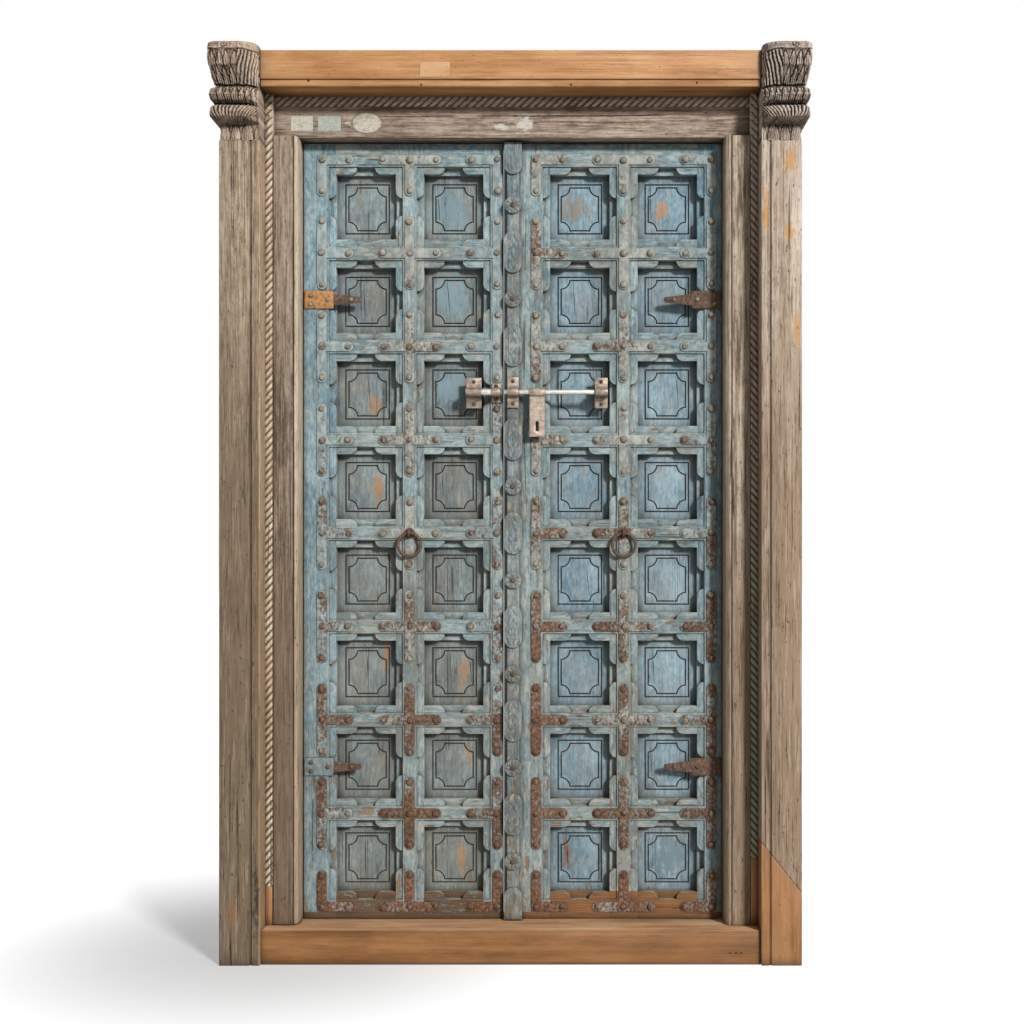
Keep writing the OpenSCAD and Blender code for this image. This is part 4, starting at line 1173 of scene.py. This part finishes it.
def capital_cut(around, share):
    """Depth in mm of the carving at a way around (mm) and a share of the height."""
    middle = TURNED_RUN + FRONT_RUN / 2
    if share < FOOT_TOP:
        away = abs((around / LEAF_PITCH) % 1 - 0.5) * 2
        edge = math.sqrt(max(0, 1 - (share / 0.17) ** 2))
        if away < edge - 0.12:
            return ribs(around + 60 * share, 6.2, 1.6) + 1.2
        return DEEP_CUT if away < edge + 0.1 else 2.6
    if share < FAN_TOP:
        fan = ribs((around - middle) / (0.6 + 3.2 * (share - FOOT_TOP)), 10, DEEP_CUT)
        return fan + line(share, 0.18, 3) + line(share, 0.355, 3)
    if share < RING_TOP:
        return petals(around, share, 0.37, 0.56) + line(share, 0.38, 2.5) + line(share, 0.56, 3.5)
    if share > HEAD_TOP:
        rosette = math.hypot(around - middle, (share - 0.955) * CARVED_HEIGHT)
        return line(share, 0.905, 3.5) + (2.2 if 5 < rosette < 7.5 or rosette < 2.5 else 0.3)
    if TURNED_RUN < around < TURNED_RUN + FRONT_RUN + 6:
        if share > HEAD_MIDDLE:
            return petals(around, share, HEAD_MIDDLE, HEAD_TOP)
        return petals(around + PETAL_PITCH / 2, share, RING_TOP, HEAD_MIDDLE)
    return ribs(around + 70 * (share - 0.7), 11, 4.8)


def carve_capital(side):
    """Replaces a capital by a bent and carved grid."""
    node = side + "_capital"
    low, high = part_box(node)
    mirror = 1 if side == "right" else -1
    columns = len(capital_plan(1.0))
    grid = fresh(bpy.ops.mesh.primitive_grid_add, x_subdivisions=columns - 1, y_subdivisions=LEVELS - 1, size=1)
    cuts = []
    for level in range(LEVELS):
        share = level / (LEVELS - 1)
        plan = capital_plan(overhang(share))
        for column, (across, depth, around) in enumerate(plan):
            before, after = plan[max(column - 1, 0)], plan[min(column + 1, columns - 1)]
            run = Vector((after[0] - before[0], after[1] - before[1]))
            outward = Vector((run.y, -run.x)).normalized()
            spot = Vector((across, depth, share * CARVED_HEIGHT))
            wander = 3.2 * noise.noise(spot * 0.035) + 1.4 * noise.noise(spot * 0.11)
            cut = capital_cut(around + wander, share + 0.012 * noise.noise(spot * 0.06)) if around else 0.0
            cut *= 1.15 + 0.7 * noise.noise(spot * 0.04)
            worn = 1.6 + 1.2 * noise.noise(spot * 0.07) + 0.9 * noise.noise(spot * 0.19)
            place = Vector((mirror * (across - outward.x * (cut + worn)), depth - outward.y * (cut + worn),
                            cap_low.z + share * (cap_high.z - cap_low.z))) * MM
            grid.data.vertices[level * columns + column].co = [
                min(max(value, least), most) for value, least, most in zip(place, low, high)]
            cuts.append(min(1.0, cut / DEEP_CUT) ** 2)
    carve = grid.data.attributes.new("carve", "FLOAT", "POINT")
    carve.data.foreach_set("value", cuts)
    open_mesh(grid)
    bpy.ops.mesh.remove_doubles(threshold=0.05 * MM)
    bpy.ops.mesh.fill_holes(sides=0)
    bpy.ops.mesh.select_all(action="SELECT")
    bpy.ops.mesh.normals_make_consistent(inside=False)
    bpy.ops.object.mode_set(mode="OBJECT")
    bpy.ops.object.shade_smooth_by_angle(angle=math.radians(50))
    settle(grid, "carved_" + node, body_of[node], [teak_carved[side]], node)
    print(grid.name, len(grid.data.polygons), "faces")


for side in SIDES:
    carve_capital(side)


# %% [markdown]
# The door stands on a pale floor in light from the upper right, which is what throws the shadow
# along the right and the top of every panel. One broad sun gives an even floor without a grey edge
# far away; the world fills the shadows. Floor and world are lifted for the camera alone, so that
# they read as white. The lift is less near the left foot, so the door's shadow stays there.

# %% Floor and light
FLOOR_SIZE = 60.0
TO_LIGHT = Vector((0.50, -0.78, 0.42))
SUN_STRENGTH = 3.45
SUN_WIDTH_DEG = 9
SKY_STRENGTH = 0.22
SHADOW_FOOT = (-0.62, 0.10, 0.0)
SHADOW_REACH = (0.15, 1.15)
FLOOR_LIFT = (0.36, 1.0)
WHITE = (1, 1, 1, 1)


def seen_share(tree):
    """1 for rays that show a surface to the eye, directly or in a shine, and 0 for light."""
    shiny = add(tree, "Math", {0: add(tree, "LightPath", out="Is Camera Ray"),
                               1: add(tree, "LightPath", out="Is Glossy Ray")}, operation="MAXIMUM")
    through = add(tree, "LightPath", out="Is Transmission Ray")
    return add(tree, "Math", {0: shiny, 1: through}, operation="MAXIMUM")


floor = fresh(bpy.ops.mesh.primitive_plane_add, size=FLOOR_SIZE)
floor.name = "floor"
floor_paint = bpy.data.materials.new("Pale floor")
floor_paint.use_nodes = True
floor_tree = floor_paint.node_tree
floor_shader = floor_tree.nodes["Principled BSDF"]
for socket, value in (("Base Color", linear("#b4b4b4")), ("Roughness", 0.9), ("Specular IOR Level", 0.0),
                      ("Emission Color", WHITE)):
    floor_shader.inputs[socket].default_value = value
away = add(floor_tree, "VectorMath", {0: add(floor_tree, "TexCoord", out="Object"), 1: SHADOW_FOOT}, out="Value",
           operation="DISTANCE")
lift = add(floor_tree, "MapRange", {"Value": away, "From Min": SHADOW_REACH[0], "From Max": SHADOW_REACH[1],
                                    "To Min": FLOOR_LIFT[0], "To Max": FLOOR_LIFT[1]},
           interpolation_type="SMOOTHSTEP")
lift = add(floor_tree, "Math", {0: lift, 1: seen_share(floor_tree)}, operation="MULTIPLY")
floor_tree.links.new(lift, floor_shader.inputs["Emission Strength"])
floor.data.materials.append(floor_paint)

world = bpy.data.worlds.new("Studio")
bpy.context.scene.world = world
world.use_nodes = True
sky = world.node_tree
sky.nodes["Background"].inputs["Color"].default_value = WHITE
sky.links.new(add(sky, "MapRange", {"Value": seen_share(sky), "To Min": SKY_STRENGTH, "To Max": 1.0}),
              sky.nodes["Background"].inputs["Strength"])

bpy.ops.object.light_add(type="SUN", location=TO_LIGHT * 5, rotation=TO_LIGHT.to_track_quat("Z", "Y").to_euler())
sun = bpy.context.object
sun.name = "sun"
sun.data.energy = SUN_STRENGTH
sun.data.angle = math.radians(SUN_WIDTH_DEG)
bpy.context.scene.view_settings.view_transform = "Standard"
print("floor and light set")
